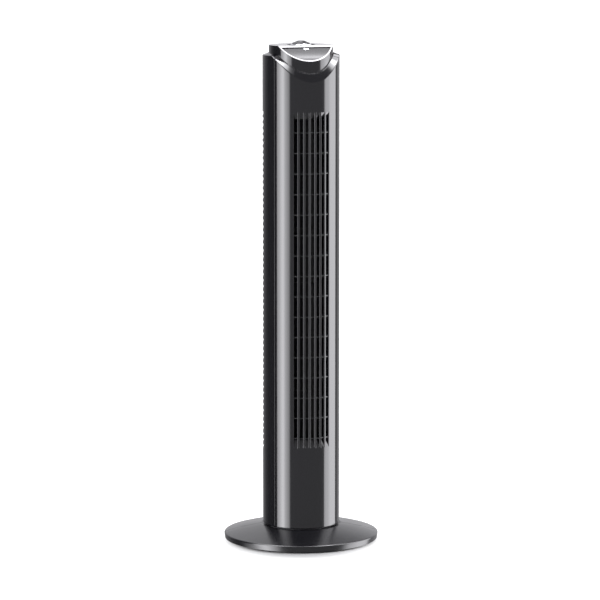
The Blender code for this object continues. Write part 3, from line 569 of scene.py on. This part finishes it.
def base_height(radius):
    """Height of the base's crowned top at a radius."""
    crown_radius, crown_z = BASE_CROWN
    along = (radius - crown_radius) / (BASE_RADIUS - 1.0 - crown_radius)
    return crown_z + (10.9 - crown_z) * along + 3.2 * along * (1.0 - along)


def base_section(drop):
    """Section of the base's shell with rounded edges. drop sinks the skin beside a seam."""
    crown_radius, crown_z = BASE_CROWN
    radii = spread(crown_radius + 1.6, BASE_RADIUS - 2.2, 14)
    points = [(51.5, 22.0), (crown_radius - 2.2, 22.0)]
    points += fillet(
        (crown_radius - 1.0, 22.4), (crown_radius, crown_z), (radii[0], base_height(radii[0])))
    points += [(radius, base_height(radius)) for radius in radii[1:-1]]
    points += fillet(
        (radii[-1], base_height(radii[-1])), (BASE_RADIUS, base_height(BASE_RADIUS - 0.6)),
        (BASE_RADIUS - 0.15, 8.9), 5)
    low = BASE_RADIUS - BASE_RIM_TAPER
    points += fillet((low, BASE_RIM_BOTTOM + 0.5), (low, BASE_RIM_BOTTOM), (low - 0.5, BASE_RIM_BOTTOM), 2)
    inner = BASE_RADIUS - BASE_WALL
    points += [(inner - BASE_RIM_TAPER, BASE_RIM_BOTTOM), (inner, 8.5)]
    points += [(radius, base_height(radius) - BASE_WALL) for radius in radii[12:0:-2]]
    points += [(crown_radius - 2.0, 19.6), (51.5, 19.6)]
    return [
        (radius, height - (drop if height > BASE_RIM_TOP and index < BASE_SKIN_POINTS else 0.0))
        for index, (radius, height) in enumerate(points)]


def rib_section(_angle):
    """Section of a stiffening rib under the base's top."""
    return [
        (71.0, base_height(71.0) - 1.2), (111.4, 9.0), (111.4, 4.0), (71.0, 8.0)]


def base_half(name, middle):
    """Half of the base, with its ribs and bosses underneath."""
    shape = bmesh.new()
    drops = {0: 0.6, 1: 0.15}
    turns = [-89.65, -89.4] + spread(-89.0, 89.0, 90) + [89.4, 89.65]
    last = len(turns) - 1
    sections = {
        middle + turn: base_section(drops.get(min(index, last - index), 0.0))
        for index, turn in enumerate(turns)}
    add_ring(shape, lambda angle: sections[angle], list(sections), closed=False)
    for offset in (-60.0, -20.0, 20.0, 60.0):
        edges = (middle + offset - 0.7, middle + offset + 0.7)
        add_ring(shape, rib_section, edges, closed=False)
    for offset in (-45.0, 45.0):
        for circle, inner, outer, bottom, top in (
                (FOOT_CIRCLE, 2.4, 7.0, 3.0, 13.0), (PLATE_SCREW_CIRCLE, 1.7, 4.2, 15.3, 20.6)):
            spot = polar(circle, middle + offset, 0.0) / MM
            loop = [
                (inner, top), (outer, top), (outer, bottom + 0.4), (outer - 0.4, bottom), (inner, bottom)]
            add_ring(shape, lambda _angle: loop, whole_turn(24), centre=(spot.x, spot.y))
    turn_base(shape)
    skin = piece(name + "_skin", outward(shape), "casing_gloss", "base", [name])
    skin.data.materials[0] = MATERIALS["base_gloss"]


def turn_base(shape):
    """Turn a shape drawn on the base's own front to where the base stands."""
    bmesh.ops.rotate(
        shape, cent=(0.0, 0.0, 0.0), matrix=Matrix.Rotation(math.radians(BASE_TURN), 3, "Z"),
        verts=shape.verts)


def corner_spots(circle):
    """The four corner places on the base, turned with it, keyed by the CAD names' endings."""
    angles = {"front_left": -45.0, "front_right": 45.0, "rear_right": 135.0, "rear_left": 225.0}
    return {word: polar(circle, angle + BASE_TURN, 0.0) / MM for word, angle in angles.items()}


def feet():
    """Four rubber feet with a grooved sole."""
    for word, spot in corner_spots(FOOT_CIRCLE).items():
        shape = bmesh.new()
        profile = [(0.0, 8.4), (2.0, 8.4), (2.0, 2.7), (7.8, 2.7)]
        profile += fillet((7.8, 2.7), (8.5, 2.7), (8.5, 2.0), 3)[1:]
        profile += fillet((8.5, 0.7), (8.5, 0.0), (7.8, 0.0), 3)
        profile += [(6.2, 0.0), (6.0, 0.5), (5.2, 0.5), (5.0, 0.0), (3.2, 0.0), (3.0, 0.5), (2.2, 0.5),
                    (2.0, 0.0), (0.0, 0.0)]
        add_turned(shape, profile, 40, (spot.x, spot.y))
        piece("foot_%s_rubber" % word, outward(shape), "rubber", "base", ["foot_" + word])


def swivel_plate():
    """The fixed plate with its ribs, crank slot and screw pads, seen from underneath."""
    shape = bmesh.new()
    rim = fillet((68.2, 15.0), (69.0, 15.0), (69.0, 14.2), 2)
    rim += fillet((69.0, 12.6), (69.0, 12.0), (68.4, 12.0), 2)
    profile = [(0.0, 36.0), (5.4, 36.0), (6.0, 35.4), (6.0, 15.0)] + rim
    profile += [(58.0, 12.0), (57.5, 12.6), (54.5, 12.6), (54.0, 12.0), (0.0, 12.0)]
    add_turned(shape, profile, 96)
    plate = piece("swivel_plate_body", outward(shape), "inner_plastic", "base", ["swivel_plate"])
    cutters = bmesh.new()
    add_stadium(cutters, 5.5, 14.2, 38.5, 5.0, 20.0)
    turn_base(cutters)
    cut(plate, cutters)


def add_stadium(shape, half, start_y, end_y, bottom, top):
    """A slot-shaped solid with round ends along Y."""
    outline = []
    for turn in spread(0.0, math.pi, 10):
        outline.append((half * math.cos(turn), end_y + half * math.sin(turn)))
    for turn in spread(math.pi, math.tau, 10):
        outline.append((half * math.cos(turn), start_y + half * math.sin(turn)))
    low = [shape.verts.new(Vector((x, y, bottom)) * MM) for x, y in outline]
    high = [shape.verts.new(Vector((x, y, top)) * MM) for x, y in outline]
    count = len(outline)
    for index in range(count):
        after = (index + 1) % count
        shape.faces.new((low[index], low[after], high[after], high[index]))
    shape.faces.new(low[::-1])
    shape.faces.new(high)


def cut(obj, cutter_shape, bevel=0.0):
    """Cut a shape out of an object for good, and round the new edges."""
    mesh = bpy.data.meshes.new("cutter")
    outward(cutter_shape).to_mesh(mesh)
    cutter_shape.free()
    cutter = bpy.data.objects.new("cutter", mesh)
    bpy.context.scene.collection.objects.link(cutter)
    obj.modifiers.clear()
    boolean = obj.modifiers.new("cut", "BOOLEAN")
    boolean.object = cutter
    boolean.solver = "EXACT"
    if bevel:
        rounding = obj.modifiers.new("round", "BEVEL")
        rounding.width = bevel * MM
        rounding.segments = 3
        rounding.limit_method = "ANGLE"
        rounding.angle_limit = math.radians(35.0)
    graph = bpy.context.evaluated_depsgraph_get()
    made = bpy.data.meshes.new_from_object(obj.evaluated_get(graph))
    obj.modifiers.clear()
    old = obj.data
    obj.data = made
    made.shade_smooth()
    made.set_sharp_from_angle(angle=math.radians(40.0))
    even_normals(obj)
    bpy.data.meshes.remove(old)
    bpy.data.objects.remove(cutter)
    bpy.data.meshes.remove(mesh)


# Cap and control --------------------------------------------------------------------------


def slope_height(y):
    """Height of the cap's sloping front at a distance y from the axis; the deck is level behind it."""
    forward = max(0.0, -y - PANEL_CHORD)
    return CAP_TOP - PANEL_DROP * forward / (NECK_RADIUS - PANEL_CHORD)


def top_cap():
    """The neck: a round wall whose front is cut away on a slope, and a level deck."""
    shape = bmesh.new()
    profile = [(0.0, CAP_TOP)]
    profile += fillet((NECK_RADIUS - 0.5, CAP_TOP), (NECK_RADIUS, CAP_TOP), (NECK_RADIUS, CAP_TOP - 0.5), 3)
    profile += [(NECK_RADIUS, CAP_BOTTOM), (45.4, CAP_BOTTOM), (45.4, CAP_TOP - 2.4), (0.0, CAP_TOP - 2.4)]
    add_turned(shape, profile, 120)
    cap = piece("top_cap_skin", outward(shape), "casing_gloss", "tower", ["top_cap"])
    cutter = bmesh.new()
    near = [Vector((side * 80.0, -PANEL_CHORD, CAP_TOP)) * MM for side in (-1, 1)]
    far_y = -90.0
    far = [Vector((side * 80.0, far_y, slope_height(far_y))) * MM for side in (1, -1)]
    low = [cutter.verts.new(point) for point in near + far]
    high = [cutter.verts.new(vert.co + Vector((0.0, 0.0, 0.09))) for vert in low]
    for index in range(4):
        after = (index + 1) % 4
        cutter.faces.new((low[index], low[after], high[after], high[index]))
    cutter.faces.new(low)
    cutter.faces.new(high)
    well = bmesh.new()
    well_top, well_bottom = CAP_TOP + 5.0, CAP_TOP - 9.0
    add_turned(
        well, [(0.0, well_top), (DIAL_WELL, well_top), (DIAL_WELL, well_bottom), (0.0, well_bottom)], 72)
    cut(cap, well)
    cut(cap, cutter, 0.35)


def panel_height(y):
    """Height of the dished control panel at a distance y from the axis."""
    along = min(1.0, max(0.0, (-y - PANEL_CHORD) / (44.9 - PANEL_CHORD)))
    return slope_height(y) - 1.4 - PANEL_SAG * along * (1.0 - along ** 3)


def control_panel():
    """The dished panel inside the cap's sloping rim, with a small index mark."""
    radius = 45.1
    half = math.sqrt(radius ** 2 - (PANEL_CHORD + 0.6) ** 2)
    columns = []
    for step in spread(-1.0, 1.0, 40):
        x = half * math.sin(step * math.pi / 2.0)
        front = -math.sqrt(max(radius ** 2 - x * x, (PANEL_CHORD + 0.61) ** 2))
        line = [Vector((x, y, panel_height(y))) * MM for y in spread(-PANEL_CHORD - 0.6, front, 20)]
        columns.append(line)
    shape = bmesh.new()
    add_grid(shape, columns)
    panel = piece("control_panel_dish", shape, "panel_gloss", "tower", ["control_panel"])
    thicken(panel, 1.4)
    mark = bmesh.new()
    lines = []
    for x in spread(-3.9, 3.9, 12):
        reach = 0.75 * math.sqrt(max(0.02, 1.0 - (x / 4.0) ** 6))
        line = [Vector((x, y, panel_height(y) + 0.12)) * MM for y in spread(-25.4 + reach, -25.4 - reach, 4)]
        lines.append(line)
    add_grid(mark, lines)
    thicken(piece("panel_index_mark", mark, "knob_silver", "tower", []), 0.1)


def dial():
    """The bezel round the knob, the knob's dome and its bright skirt."""
    bezel = bmesh.new()
    rim = DIAL_WELL - 0.3
    section = [(5.0, BEZEL_LOW + 1.8), (rim - 3.4, BEZEL_LOW + 1.8)]
    section += fillet((rim - 2.6, BEZEL_LOW + 2.4), (rim - 2.0, BEZEL_HIGH), (rim - 1.2, BEZEL_HIGH), 4)
    section += fillet((rim - 0.5, BEZEL_HIGH), (rim, BEZEL_HIGH), (rim, BEZEL_HIGH - 0.6), 3)
    section += [(rim, BEZEL_LOW), (5.0, BEZEL_LOW)]
    add_ring(bezel, lambda _angle: section, whole_turn(96))
    piece("dial_bezel_ring", outward(bezel), "dial_dark", "tower", ["dial_bezel"])
    knob = bmesh.new()
    profile = [(0.0, KNOB_HIGH - 0.05), (4.0, KNOB_HIGH)]
    profile += fillet((4.4, KNOB_HIGH - 0.05), (5.6, KNOB_HIGH - 0.2), (7.4, KNOB_HIGH - 1.2), 6)
    profile += fillet((12.4, KNOB_HIGH - 3.1), (13.6, KNOB_HIGH - 3.4), (13.9, KNOB_LOW + 0.1), 4)
    profile += [(13.7, KNOB_LOW), (3.4, KNOB_LOW), (3.4, KNOB_HIGH - 2.5), (0.0, KNOB_HIGH - 2.5)]
    add_turned(knob, profile, 72)
    piece("speed_knob_dome", outward(knob), "knob_dark", "knob", ["speed_knob"])
    skirt = bmesh.new()
    ring = [(3.5, SKIRT_HIGH), (12.9, SKIRT_HIGH)]
    ring += fillet((13.1, SKIRT_HIGH - 0.1), (14.8, SKIRT_HIGH - 1.3), (15.3, SKIRT_HIGH - 2.4), 5)
    ring += [(15.1, SKIRT_HIGH - 2.7), (13.6, SKIRT_HIGH - 2.9), (13.6, SKIRT_LOW)]
    ring += [(8.8, SKIRT_LOW), (8.8, SKIRT_LOW + 1.4), (3.5, SKIRT_LOW + 1.4)]
    add_ring(skirt, lambda _angle: ring, whole_turn(72))
    piece("knob_skirt_ring", outward(skirt), "knob_silver", "knob", ["knob_skirt"])


# Wheel and small pieces --------------------------------------------------------------------


def wheel():
    """The cross-flow wheel: curved blades between ring plates."""
    shape = bmesh.new()
    here = (0.0, WHEEL_Y)
    add_ring(
        shape,
        lambda _angle: [
            (8.3, WHEEL_LOW + WHEEL_PLATE), (WHEEL_RADIUS, WHEEL_LOW + WHEEL_PLATE),
            (WHEEL_RADIUS, WHEEL_LOW), (8.3, WHEEL_LOW)],
        whole_turn(60), centre=here)
    add_ring(
        shape,
        lambda _angle: [
            (3.3, WHEEL_HIGH), (WHEEL_RADIUS, WHEEL_HIGH), (WHEEL_RADIUS, WHEEL_HIGH - WHEEL_PLATE),
            (8.0, WHEEL_HIGH - WHEEL_PLATE), (8.0, WHEEL_HIGH - 12.0), (3.3, WHEEL_HIGH - 12.0)],
        whole_turn(60), centre=here)
    for level in spread(WHEEL_LOW, WHEEL_HIGH - WHEEL_PLATE, WHEEL_SECTIONS)[1:-1]:
        section = [
            (25.0, level + WHEEL_PLATE), (WHEEL_RADIUS, level + WHEEL_PLATE), (WHEEL_RADIUS, level),
            (25.0, level)]
        add_ring(shape, lambda _angle: section, whole_turn(60), centre=here)
    axis = Vector((0.0, WHEEL_Y * MM, 0.0))
    rise = Vector((0.0, 0.0, (WHEEL_HIGH - WHEEL_LOW - 2.0) * MM))
    for index in range(BLADE_COUNT):
        turn = 360.0 * index / BLADE_COUNT
        outline = []
        for side, order in ((0.55, 1), (-0.55, -1)):
            arc = [(26.0 + 6.4 * t, turn + 13.0 * t * t - 3.0 * t) for t in spread(0.0, 1.0, 6)]
            for radius, angle in arc[::order]:
                outline.append((radius, angle + math.degrees(side / radius)))
        low = [shape.verts.new(polar(r, a, WHEEL_LOW + 1.0) + axis) for r, a in outline]
        high = [shape.verts.new(vert.co + rise) for vert in low]
        count = len(outline)
        for row in range(count):
            after = (row + 1) % count
            shape.faces.new((low[row], low[after], high[after], high[row]))
        shape.faces.new(low[::-1])
        shape.faces.new(high)
    piece("cross_flow_wheel", outward(shape), "wheel_plastic", "rotor", ["impeller"])


def screw_mesh(head_radius, head_height, length):
    """A pan-head screw with a cross recess, head up, seat at the origin."""
    shape = bmesh.new()
    profile = [(0.0, head_height), (head_radius * 0.5, head_height * 0.97)]
    profile += fillet(
        (head_radius * 0.7, head_height * 0.9), (head_radius, head_height * 0.75),
        (head_radius, head_height * 0.2), 3)
    profile += [(head_radius * 0.97, 0.0), (1.3, 0.0), (1.3, 0.5 - length), (0.0, -length)]
    add_turned(shape, profile, 28)
    cross = bmesh.new()
    depth = head_height * 0.6
    arm = head_radius * 0.55
    half = 0.32
    corners = ((arm, -half, 0.0), (arm, half, 0.0), (half, half, 0.0))
    outline = []
    for turn in range(4):
        spin = Matrix.Rotation(turn * math.pi / 2.0, 3, "Z")
        outline += [spin @ Vector(corner) for corner in corners]
    rings = [
        [cross.verts.new((corner + Vector((0.0, 0.0, height))) * MM) for corner in outline]
        for height in (head_height - depth, head_height + depth)]
    for ring in rings:
        cross.faces.new(ring)
    for index in range(len(outline)):
        after = (index + 1) % len(outline)
        cross.faces.new((rings[0][index], rings[0][after], rings[1][after], rings[1][index]))
    return outward(shape), outward(cross)


def screw(node, body, head_radius, head_height, length, seat, direction):
    """One screw in place of its CAD node. direction is where the head looks."""
    shape, cross = screw_mesh(head_radius, head_height, length)
    turn = Vector((0.0, 0.0, 1.0)).rotation_difference(direction).to_matrix().to_4x4()
    place = Matrix.Translation(seat * MM) @ turn
    for part in (shape, cross):
        bmesh.ops.transform(part, matrix=place, verts=part.verts)
    obj = piece(node + "_head", shape, "screw_steel", body, [node])
    cut(obj, cross)


def screws():
    """Screws: four under the base, and four in the back whose heads the shell's skin covers."""
    for word, spot in corner_spots(PLATE_SCREW_CIRCLE).items():
        seat = Vector((spot.x, spot.y, PLATE_LOW - 0.3))
        screw("base_screw_" + word, "base", 2.8, 1.9, 7.8, seat, Vector((0.0, 0.0, -1.0)))
    for level in ("lower", "upper"):
        for side, angle in (("right", 153.3), ("left", 206.7)):
            low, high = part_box("shell_screw_%s_%s" % (level, side))
            out = polar(1.0, angle, 0.0) / MM
            seat = Vector((out.x * SHELL_SCREW_SEAT, out.y * SHELL_SCREW_SEAT, (low.z + high.z) / 2.0 / MM))
            screw("shell_screw_%s_%s" % (level, side), "tower", 2.9, 0.9, 5.4, seat, out)


def gland():
    """The rubber grommet where the lead enters, low on the back."""
    low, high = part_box("cord_gland")
    height = (low.z + high.z) / 2.0 / MM
    shape = bmesh.new()
    section = [(3.4, 59.0)] + fillet((6.8, 59.0), (8.6, 59.0), (8.6, 57.4), 4)
    section += [(8.6, 56.8), (5.9, 56.8), (5.9, 51.0), (3.4, 51.0)]
    add_ring(shape, lambda _angle: section, whole_turn(48))
    spin = Matrix.Translation((0.0, 0.0, height * MM)) @ Matrix.Rotation(math.radians(-90.0), 4, "X")
    bmesh.ops.transform(shape, matrix=spin, verts=shape.verts)
    piece("cord_gland_grommet", outward(shape), "rubber", "tower", ["cord_gland"])


# Studio -----------------------------------------------------------------------------------

CAMERA_AZIMUTH = -17.4
CAMERA_DISTANCE = 4.763
CAMERA_HEIGHT = 1.0098
CAMERA_PITCH = 7.808
CAMERA_LENS = 195.9
RAMP_SCALE = 1.5


def around(azimuth, distance, height):
    """A point round the fan. Azimuth 0 is in front of it, and 90 is on its +X side."""
    turn = math.radians(azimuth)
    return Vector((math.sin(turn) * distance, -math.cos(turn) * distance, height))


def camera():
    """The camera at the photograph's angle."""
    made = bpy.data.cameras.new("camera")
    made.lens = CAMERA_LENS
    made.sensor_width = 36.0
    made.clip_end = 200.0
    obj = bpy.data.objects.new("camera", made)
    obj.location = around(CAMERA_AZIMUTH, CAMERA_DISTANCE, CAMERA_HEIGHT)
    yaw = CAMERA_AZIMUTH + 0.018
    obj.rotation_euler = (math.radians(90.0 - CAMERA_PITCH), 0.0, math.radians(yaw))
    bpy.context.scene.collection.objects.link(obj)
    bpy.context.scene.camera = obj


def azimuth_ramp(tree, azimuth, stops):
    """A strength that depends on the azimuth, in degrees from the camera's own. Stops rise."""
    ranged = tree.nodes.new("ShaderNodeMapRange")
    ranged.inputs["From Min"].default_value = -math.pi
    ranged.inputs["From Max"].default_value = math.pi
    tree.links.new(azimuth, ranged.inputs["Value"])
    return strength_ramp(tree, ranged.outputs["Result"], [((a + 180.0) / 360.0, v) for a, v in stops])


def elevation_ramp(tree, sine, stops):
    """A strength that depends on the elevation, whose sine is RAMP_SCALE times the stop's."""
    ranged = tree.nodes.new("ShaderNodeMapRange")
    ranged.inputs["From Min"].default_value = -RAMP_SCALE
    ranged.inputs["From Max"].default_value = RAMP_SCALE
    tree.links.new(sine, ranged.inputs["Value"])
    places = [((math.sin(math.radians(a)) + 1.0) / 2.0, v) for a, v in stops]
    return strength_ramp(tree, ranged.outputs["Result"], places)


def strength_ramp(tree, value, stops):
    """A grey ramp, scaled so that strengths above one keep their size."""
    top = max(strength for _, strength in stops)
    ramp = tree.nodes.new("ShaderNodeValToRGB")
    elements = ramp.color_ramp.elements
    for index, (place, strength) in enumerate(stops):
        element = elements[index] if index < 2 else elements.new(place)
        element.position = place
        element.color = (strength / top, strength / top, strength / top, 1.0)
    tree.links.new(value, ramp.inputs["Fac"])
    return math_node(tree, "MULTIPLY", ramp.outputs["Color"], top)


def math_node(tree, operation, first, second=None):
    """A Math node on sockets or plain numbers."""
    node = tree.nodes.new("ShaderNodeMath")
    node.operation = operation
    for socket, value in zip(node.inputs, (first, second)):
        if isinstance(value, bpy.types.NodeSocket):
            tree.links.new(value, socket)
        elif value is not None:
            socket.default_value = value
    return node.outputs["Value"]


def studio_world():
    """A dim room with a softbox each side, one overhead and a pale backdrop behind the fan."""
    world = bpy.data.worlds.new("studio")
    world.use_nodes = True
    tree = world.node_tree
    place = tree.nodes.new("ShaderNodeTexCoord").outputs["Generated"]
    turned = tree.nodes.new("ShaderNodeVectorRotate")
    turned.rotation_type = "Z_AXIS"
    turned.inputs["Angle"].default_value = math.radians(-CAMERA_AZIMUTH)
    tree.links.new(place, turned.inputs["Vector"])
    axes = tree.nodes.new("ShaderNodeSeparateXYZ")
    tree.links.new(turned.outputs["Vector"], axes.inputs["Vector"])
    x, y, z = axes.outputs
    azimuth = math_node(tree, "ARCTAN2", x, math_node(tree, "MULTIPLY", y, -1.0))
    total = None
    for around_stops, up_stops in LIGHTING:
        share = math_node(
            tree, "MULTIPLY", azimuth_ramp(tree, azimuth, around_stops), elevation_ramp(tree, z, up_stops))
        total = share if total is None else math_node(tree, "ADD", total, share)
    total = math_node(tree, "ADD", total, overhead(tree, x, y, z))
    lit = tree.nodes["Background"]
    lit.inputs["Color"].default_value = (0.97, 0.965, 1.0, 1.0)
    tree.links.new(total, lit.inputs["Strength"])
    seen = tree.nodes.new("ShaderNodeBackground")
    seen.inputs["Color"].default_value = (1.0, 1.0, 1.0, 1.0)
    seen.inputs["Strength"].default_value = 1.0
    mix = tree.nodes.new("ShaderNodeMixShader")
    tree.links.new(tree.nodes.new("ShaderNodeLightPath").outputs["Is Camera Ray"], mix.inputs["Fac"])
    tree.links.new(lit.outputs["Background"], mix.inputs[1])
    tree.links.new(seen.outputs["Background"], mix.inputs[2])
    tree.links.new(mix.outputs["Shader"], tree.nodes["World Output"].inputs["Surface"])
    bpy.context.scene.world = world


# Each pair is a strength round the camera's azimuth, in degrees, and one up from the horizon. The
# second's angles read low: an elevation's sine is RAMP_SCALE times the sine of its stop
LIGHTING = (
    # Room: grey in front of the fan, dark at its sides
    (((-180.0, 0.0), (-130.0, 0.0), (-110.0, 0.12), (-78.0, 0.15), (-76.0, 0.66), (70.0, 0.66),
      (128.0, 0.1), (134.0, 0.0), (180.0, 0.0)),
     ((-90.0, 1.0), (20.0, 1.0), (35.0, 0.5), (60.0, 0.8), (90.0, 1.0))),
    # Backdrop behind the fan, low on the right and higher on the left
    (((-180.0, 0.95), (-145.0, 0.8), (-129.0, 0.45), (-112.0, 0.0), (126.0, 0.0), (129.0, 0.4), (136.0, 1.0),
      (148.0, 1.5), (162.0, 1.2), (180.0, 0.95)),
     ((-90.0, 0.35), (-4.0, 0.45), (1.0, 1.0), (14.0, 0.95), (28.0, 0.25), (36.0, 0.05), (90.0, 0.0))),
    (((-180.0, 1.0), (-150.0, 1.0), (-120.0, 0.0), (168.0, 0.0), (176.0, 0.1), (180.0, 1.0)),
     ((-90.0, 0.0), (12.0, 0.0), (24.0, 0.8), (46.0, 0.9), (54.0, 0.0), (90.0, 0.0))),
    # Left softbox, brightest down its middle
    (((-180.0, 0.0), (-77.4, 0.0), (-76.0, 5.5), (-69.0, 8.0), (-62.0, 11.5), (-58.7, 13.2), (-54.0, 13.2),
      (-48.7, 8.8), (-42.0, 6.3), (-36.0, 4.2), (-32.5, 0.2), (-31.0, 0.0), (180.0, 0.0)),
     ((-90.0, 0.0), (-60.0, 1.0), (30.0, 1.0), (50.0, 1.0), (56.0, 0.0), (90.0, 0.0))),
    # Left softbox's foot, which reaches further round
    (((-180.0, 0.0), (-106.0, 0.0), (-100.0, 1.2), (-88.0, 3.2), (-79.0, 5.0), (-76.0, 0.0), (180.0, 0.0)),
     ((-90.0, 0.0), (-50.0, 1.0), (-18.0, 1.0), (-13.0, 0.0), (90.0, 0.0))),
    # Right softbox
    (((-180.0, 0.0), (71.0, 0.0), (74.0, 4.5), (78.0, 7.0), (100.0, 8.4), (124.5, 4.8), (127.0, 0.0),
      (180.0, 0.0)),
     ((-90.0, 0.0), (-60.0, 1.0), (30.0, 1.0), (50.0, 1.0), (56.0, 0.0), (90.0, 0.0))),
)

# Overhead light: strengths by how far a direction leans back and sideways from the vertical.
# A place in these is RAMP_SCALE times the lean
OVERHEAD_BACK = (
    (-0.05, 0.0), (0.0, 0.8), (0.06, 2.6), (0.14, 4.6), (0.3, 6.5), (0.5, 9.0), (1.2, 9.5), (1.35, 0.0))
OVERHEAD_SIDE = (
    (-0.7, 0.0), (-0.6, 1.0), (0.36, 1.0), (0.4, 3.0), (0.46, 3.0), (0.5, 1.0), (0.56, 0.8), (0.62, 0.0))


def lean_ramp(tree, lean, stops):
    """A strength that depends on a lean from the vertical."""
    ranged = tree.nodes.new("ShaderNodeMapRange")
    ranged.inputs["From Min"].default_value = -1.0
    ranged.inputs["From Max"].default_value = 1.0
    tree.links.new(lean, ranged.inputs["Value"])
    places = [(0.5 + 0.5 * place / RAMP_SCALE, value) for place, value in stops]
    return strength_ramp(tree, ranged.outputs["Result"], places)


def overhead(tree, x, y, z):
    """The overhead light, whose front edge comes forward on the right."""
    height = math_node(tree, "MAXIMUM", z, 0.05)
    side = math_node(tree, "DIVIDE", x, height)
    back = math_node(tree, "DIVIDE", y, height)
    rightward = math_node(tree, "MAXIMUM", side, 0.0)
    skew = math_node(tree, "MINIMUM", math_node(tree, "MULTIPLY", rightward, 0.6), 0.29)
    share = math_node(
        tree, "MULTIPLY", lean_ramp(tree, math_node(tree, "ADD", back, skew), OVERHEAD_BACK),
        lean_ramp(tree, side, OVERHEAD_SIDE))
    glow = math_node(
        tree, "MULTIPLY", lean_ramp(tree, back, ((-0.5, 0.0), (-0.36, 0.8), (0.0, 0.9), (0.2, 0.0))),
        lean_ramp(tree, side, ((-0.6, 0.0), (-0.5, 1.0), (0.12, 1.0), (0.24, 0.0))))
    lit = math_node(tree, "ADD", share, glow)
    above = elevation_ramp(tree, z, ((-90.0, 0.0), (25.0, 0.0), (35.0, 1.0)))
    return math_node(tree, "MULTIPLY", lit, above)


# Floor and fill light, in metres. The painted contact shadow is an ellipse whose middle lies
# SHADOW_SHIFT nearer the camera and whose stops are (distance, glow)
FLOOR_HALF = 60.0
SHADOW_SHIFT = 0.025
SHADOW_DEPTH_SCALE = 0.86
RAMP_PER_METRE = 2.5
SHADOW_STOPS = ((0.078, 0.0), (0.088, 0.12), (0.1, 0.38), (0.112, 0.66), (0.12, 0.85), (0.13, 1.0))
FILL_SIZE = (2.0, 1.2)
FILL_POWER = 3.0
FILL_BEHIND = 0.6
FILL_HEIGHT = 2.6


def studio():
    """A white floor with a painted contact shadow, the lighting and a weak fill light."""
    bpy.context.scene.view_settings.view_transform = "Standard"
    shape = bmesh.new()
    bmesh.ops.create_grid(shape, x_segments=8, y_segments=8, size=FLOOR_HALF)
    mesh = bpy.data.meshes.new("floor")
    shape.to_mesh(mesh)
    shape.free()
    floor = bpy.data.objects.new("floor", mesh)
    bpy.context.scene.collection.objects.link(floor)
    finish = Finish("floor_white", (0.17, 0.17, 0.17), 0.9)
    finish.rough(finish.noise(3.0), 0.85, 0.95)
    finish.set(Specular_IOR_Level=0.0, Emission_Color=(1.0, 1.0, 1.0, 1.0))
    turned = finish.node("ShaderNodeVectorRotate", rotation_type="Z_AXIS")
    turned.inputs["Angle"].default_value = math.radians(-CAMERA_AZIMUTH)
    finish.tree.links.new(finish.place, turned.inputs["Vector"])
    shaped = finish.node("ShaderNodeMapping")
    shaped.inputs["Location"].default_value = (0.0, SHADOW_SHIFT * SHADOW_DEPTH_SCALE, 0.0)
    shaped.inputs["Scale"].default_value = (1.0, SHADOW_DEPTH_SCALE, 1.0)
    finish.tree.links.new(turned.outputs["Vector"], shaped.inputs["Vector"])
    # Painted contact shadow: the floor's emission is none beside the base and rises to full away from it
    distance = finish.node("ShaderNodeVectorMath", operation="LENGTH")
    finish.tree.links.new(shaped.outputs["Vector"], distance.inputs[0])
    reach = math_node(finish.tree, "MULTIPLY", distance.outputs["Value"], RAMP_PER_METRE)
    stops = [(place * RAMP_PER_METRE, strength) for place, strength in SHADOW_STOPS]
    glow = strength_ramp(finish.tree, reach, stops)
    finish.tree.links.new(glow, finish.shader.inputs["Emission Strength"])
    mesh.materials.append(finish.material)
    floor.visible_glossy = False
    studio_world()
    made = bpy.data.lights.new("fill", "AREA")
    made.shape = "RECTANGLE"
    made.size, made.size_y = FILL_SIZE
    made.energy = FILL_POWER
    light = bpy.data.objects.new("fill", made)
    light.location = around(CAMERA_AZIMUTH + 180.0, FILL_BEHIND, FILL_HEIGHT)
    light.rotation_euler = (0.0, 0.0, math.radians(CAMERA_AZIMUTH))
    light.visible_camera = False
    bpy.context.scene.collection.objects.link(light)


make_materials()
front_shell()
rear_shell()
base_half("base_front_half", 0.0)
base_half("base_rear_half", 180.0)
feet()
swivel_plate()
top_cap()
control_panel()
dial()
wheel()
screws()
gland()
camera()
studio()
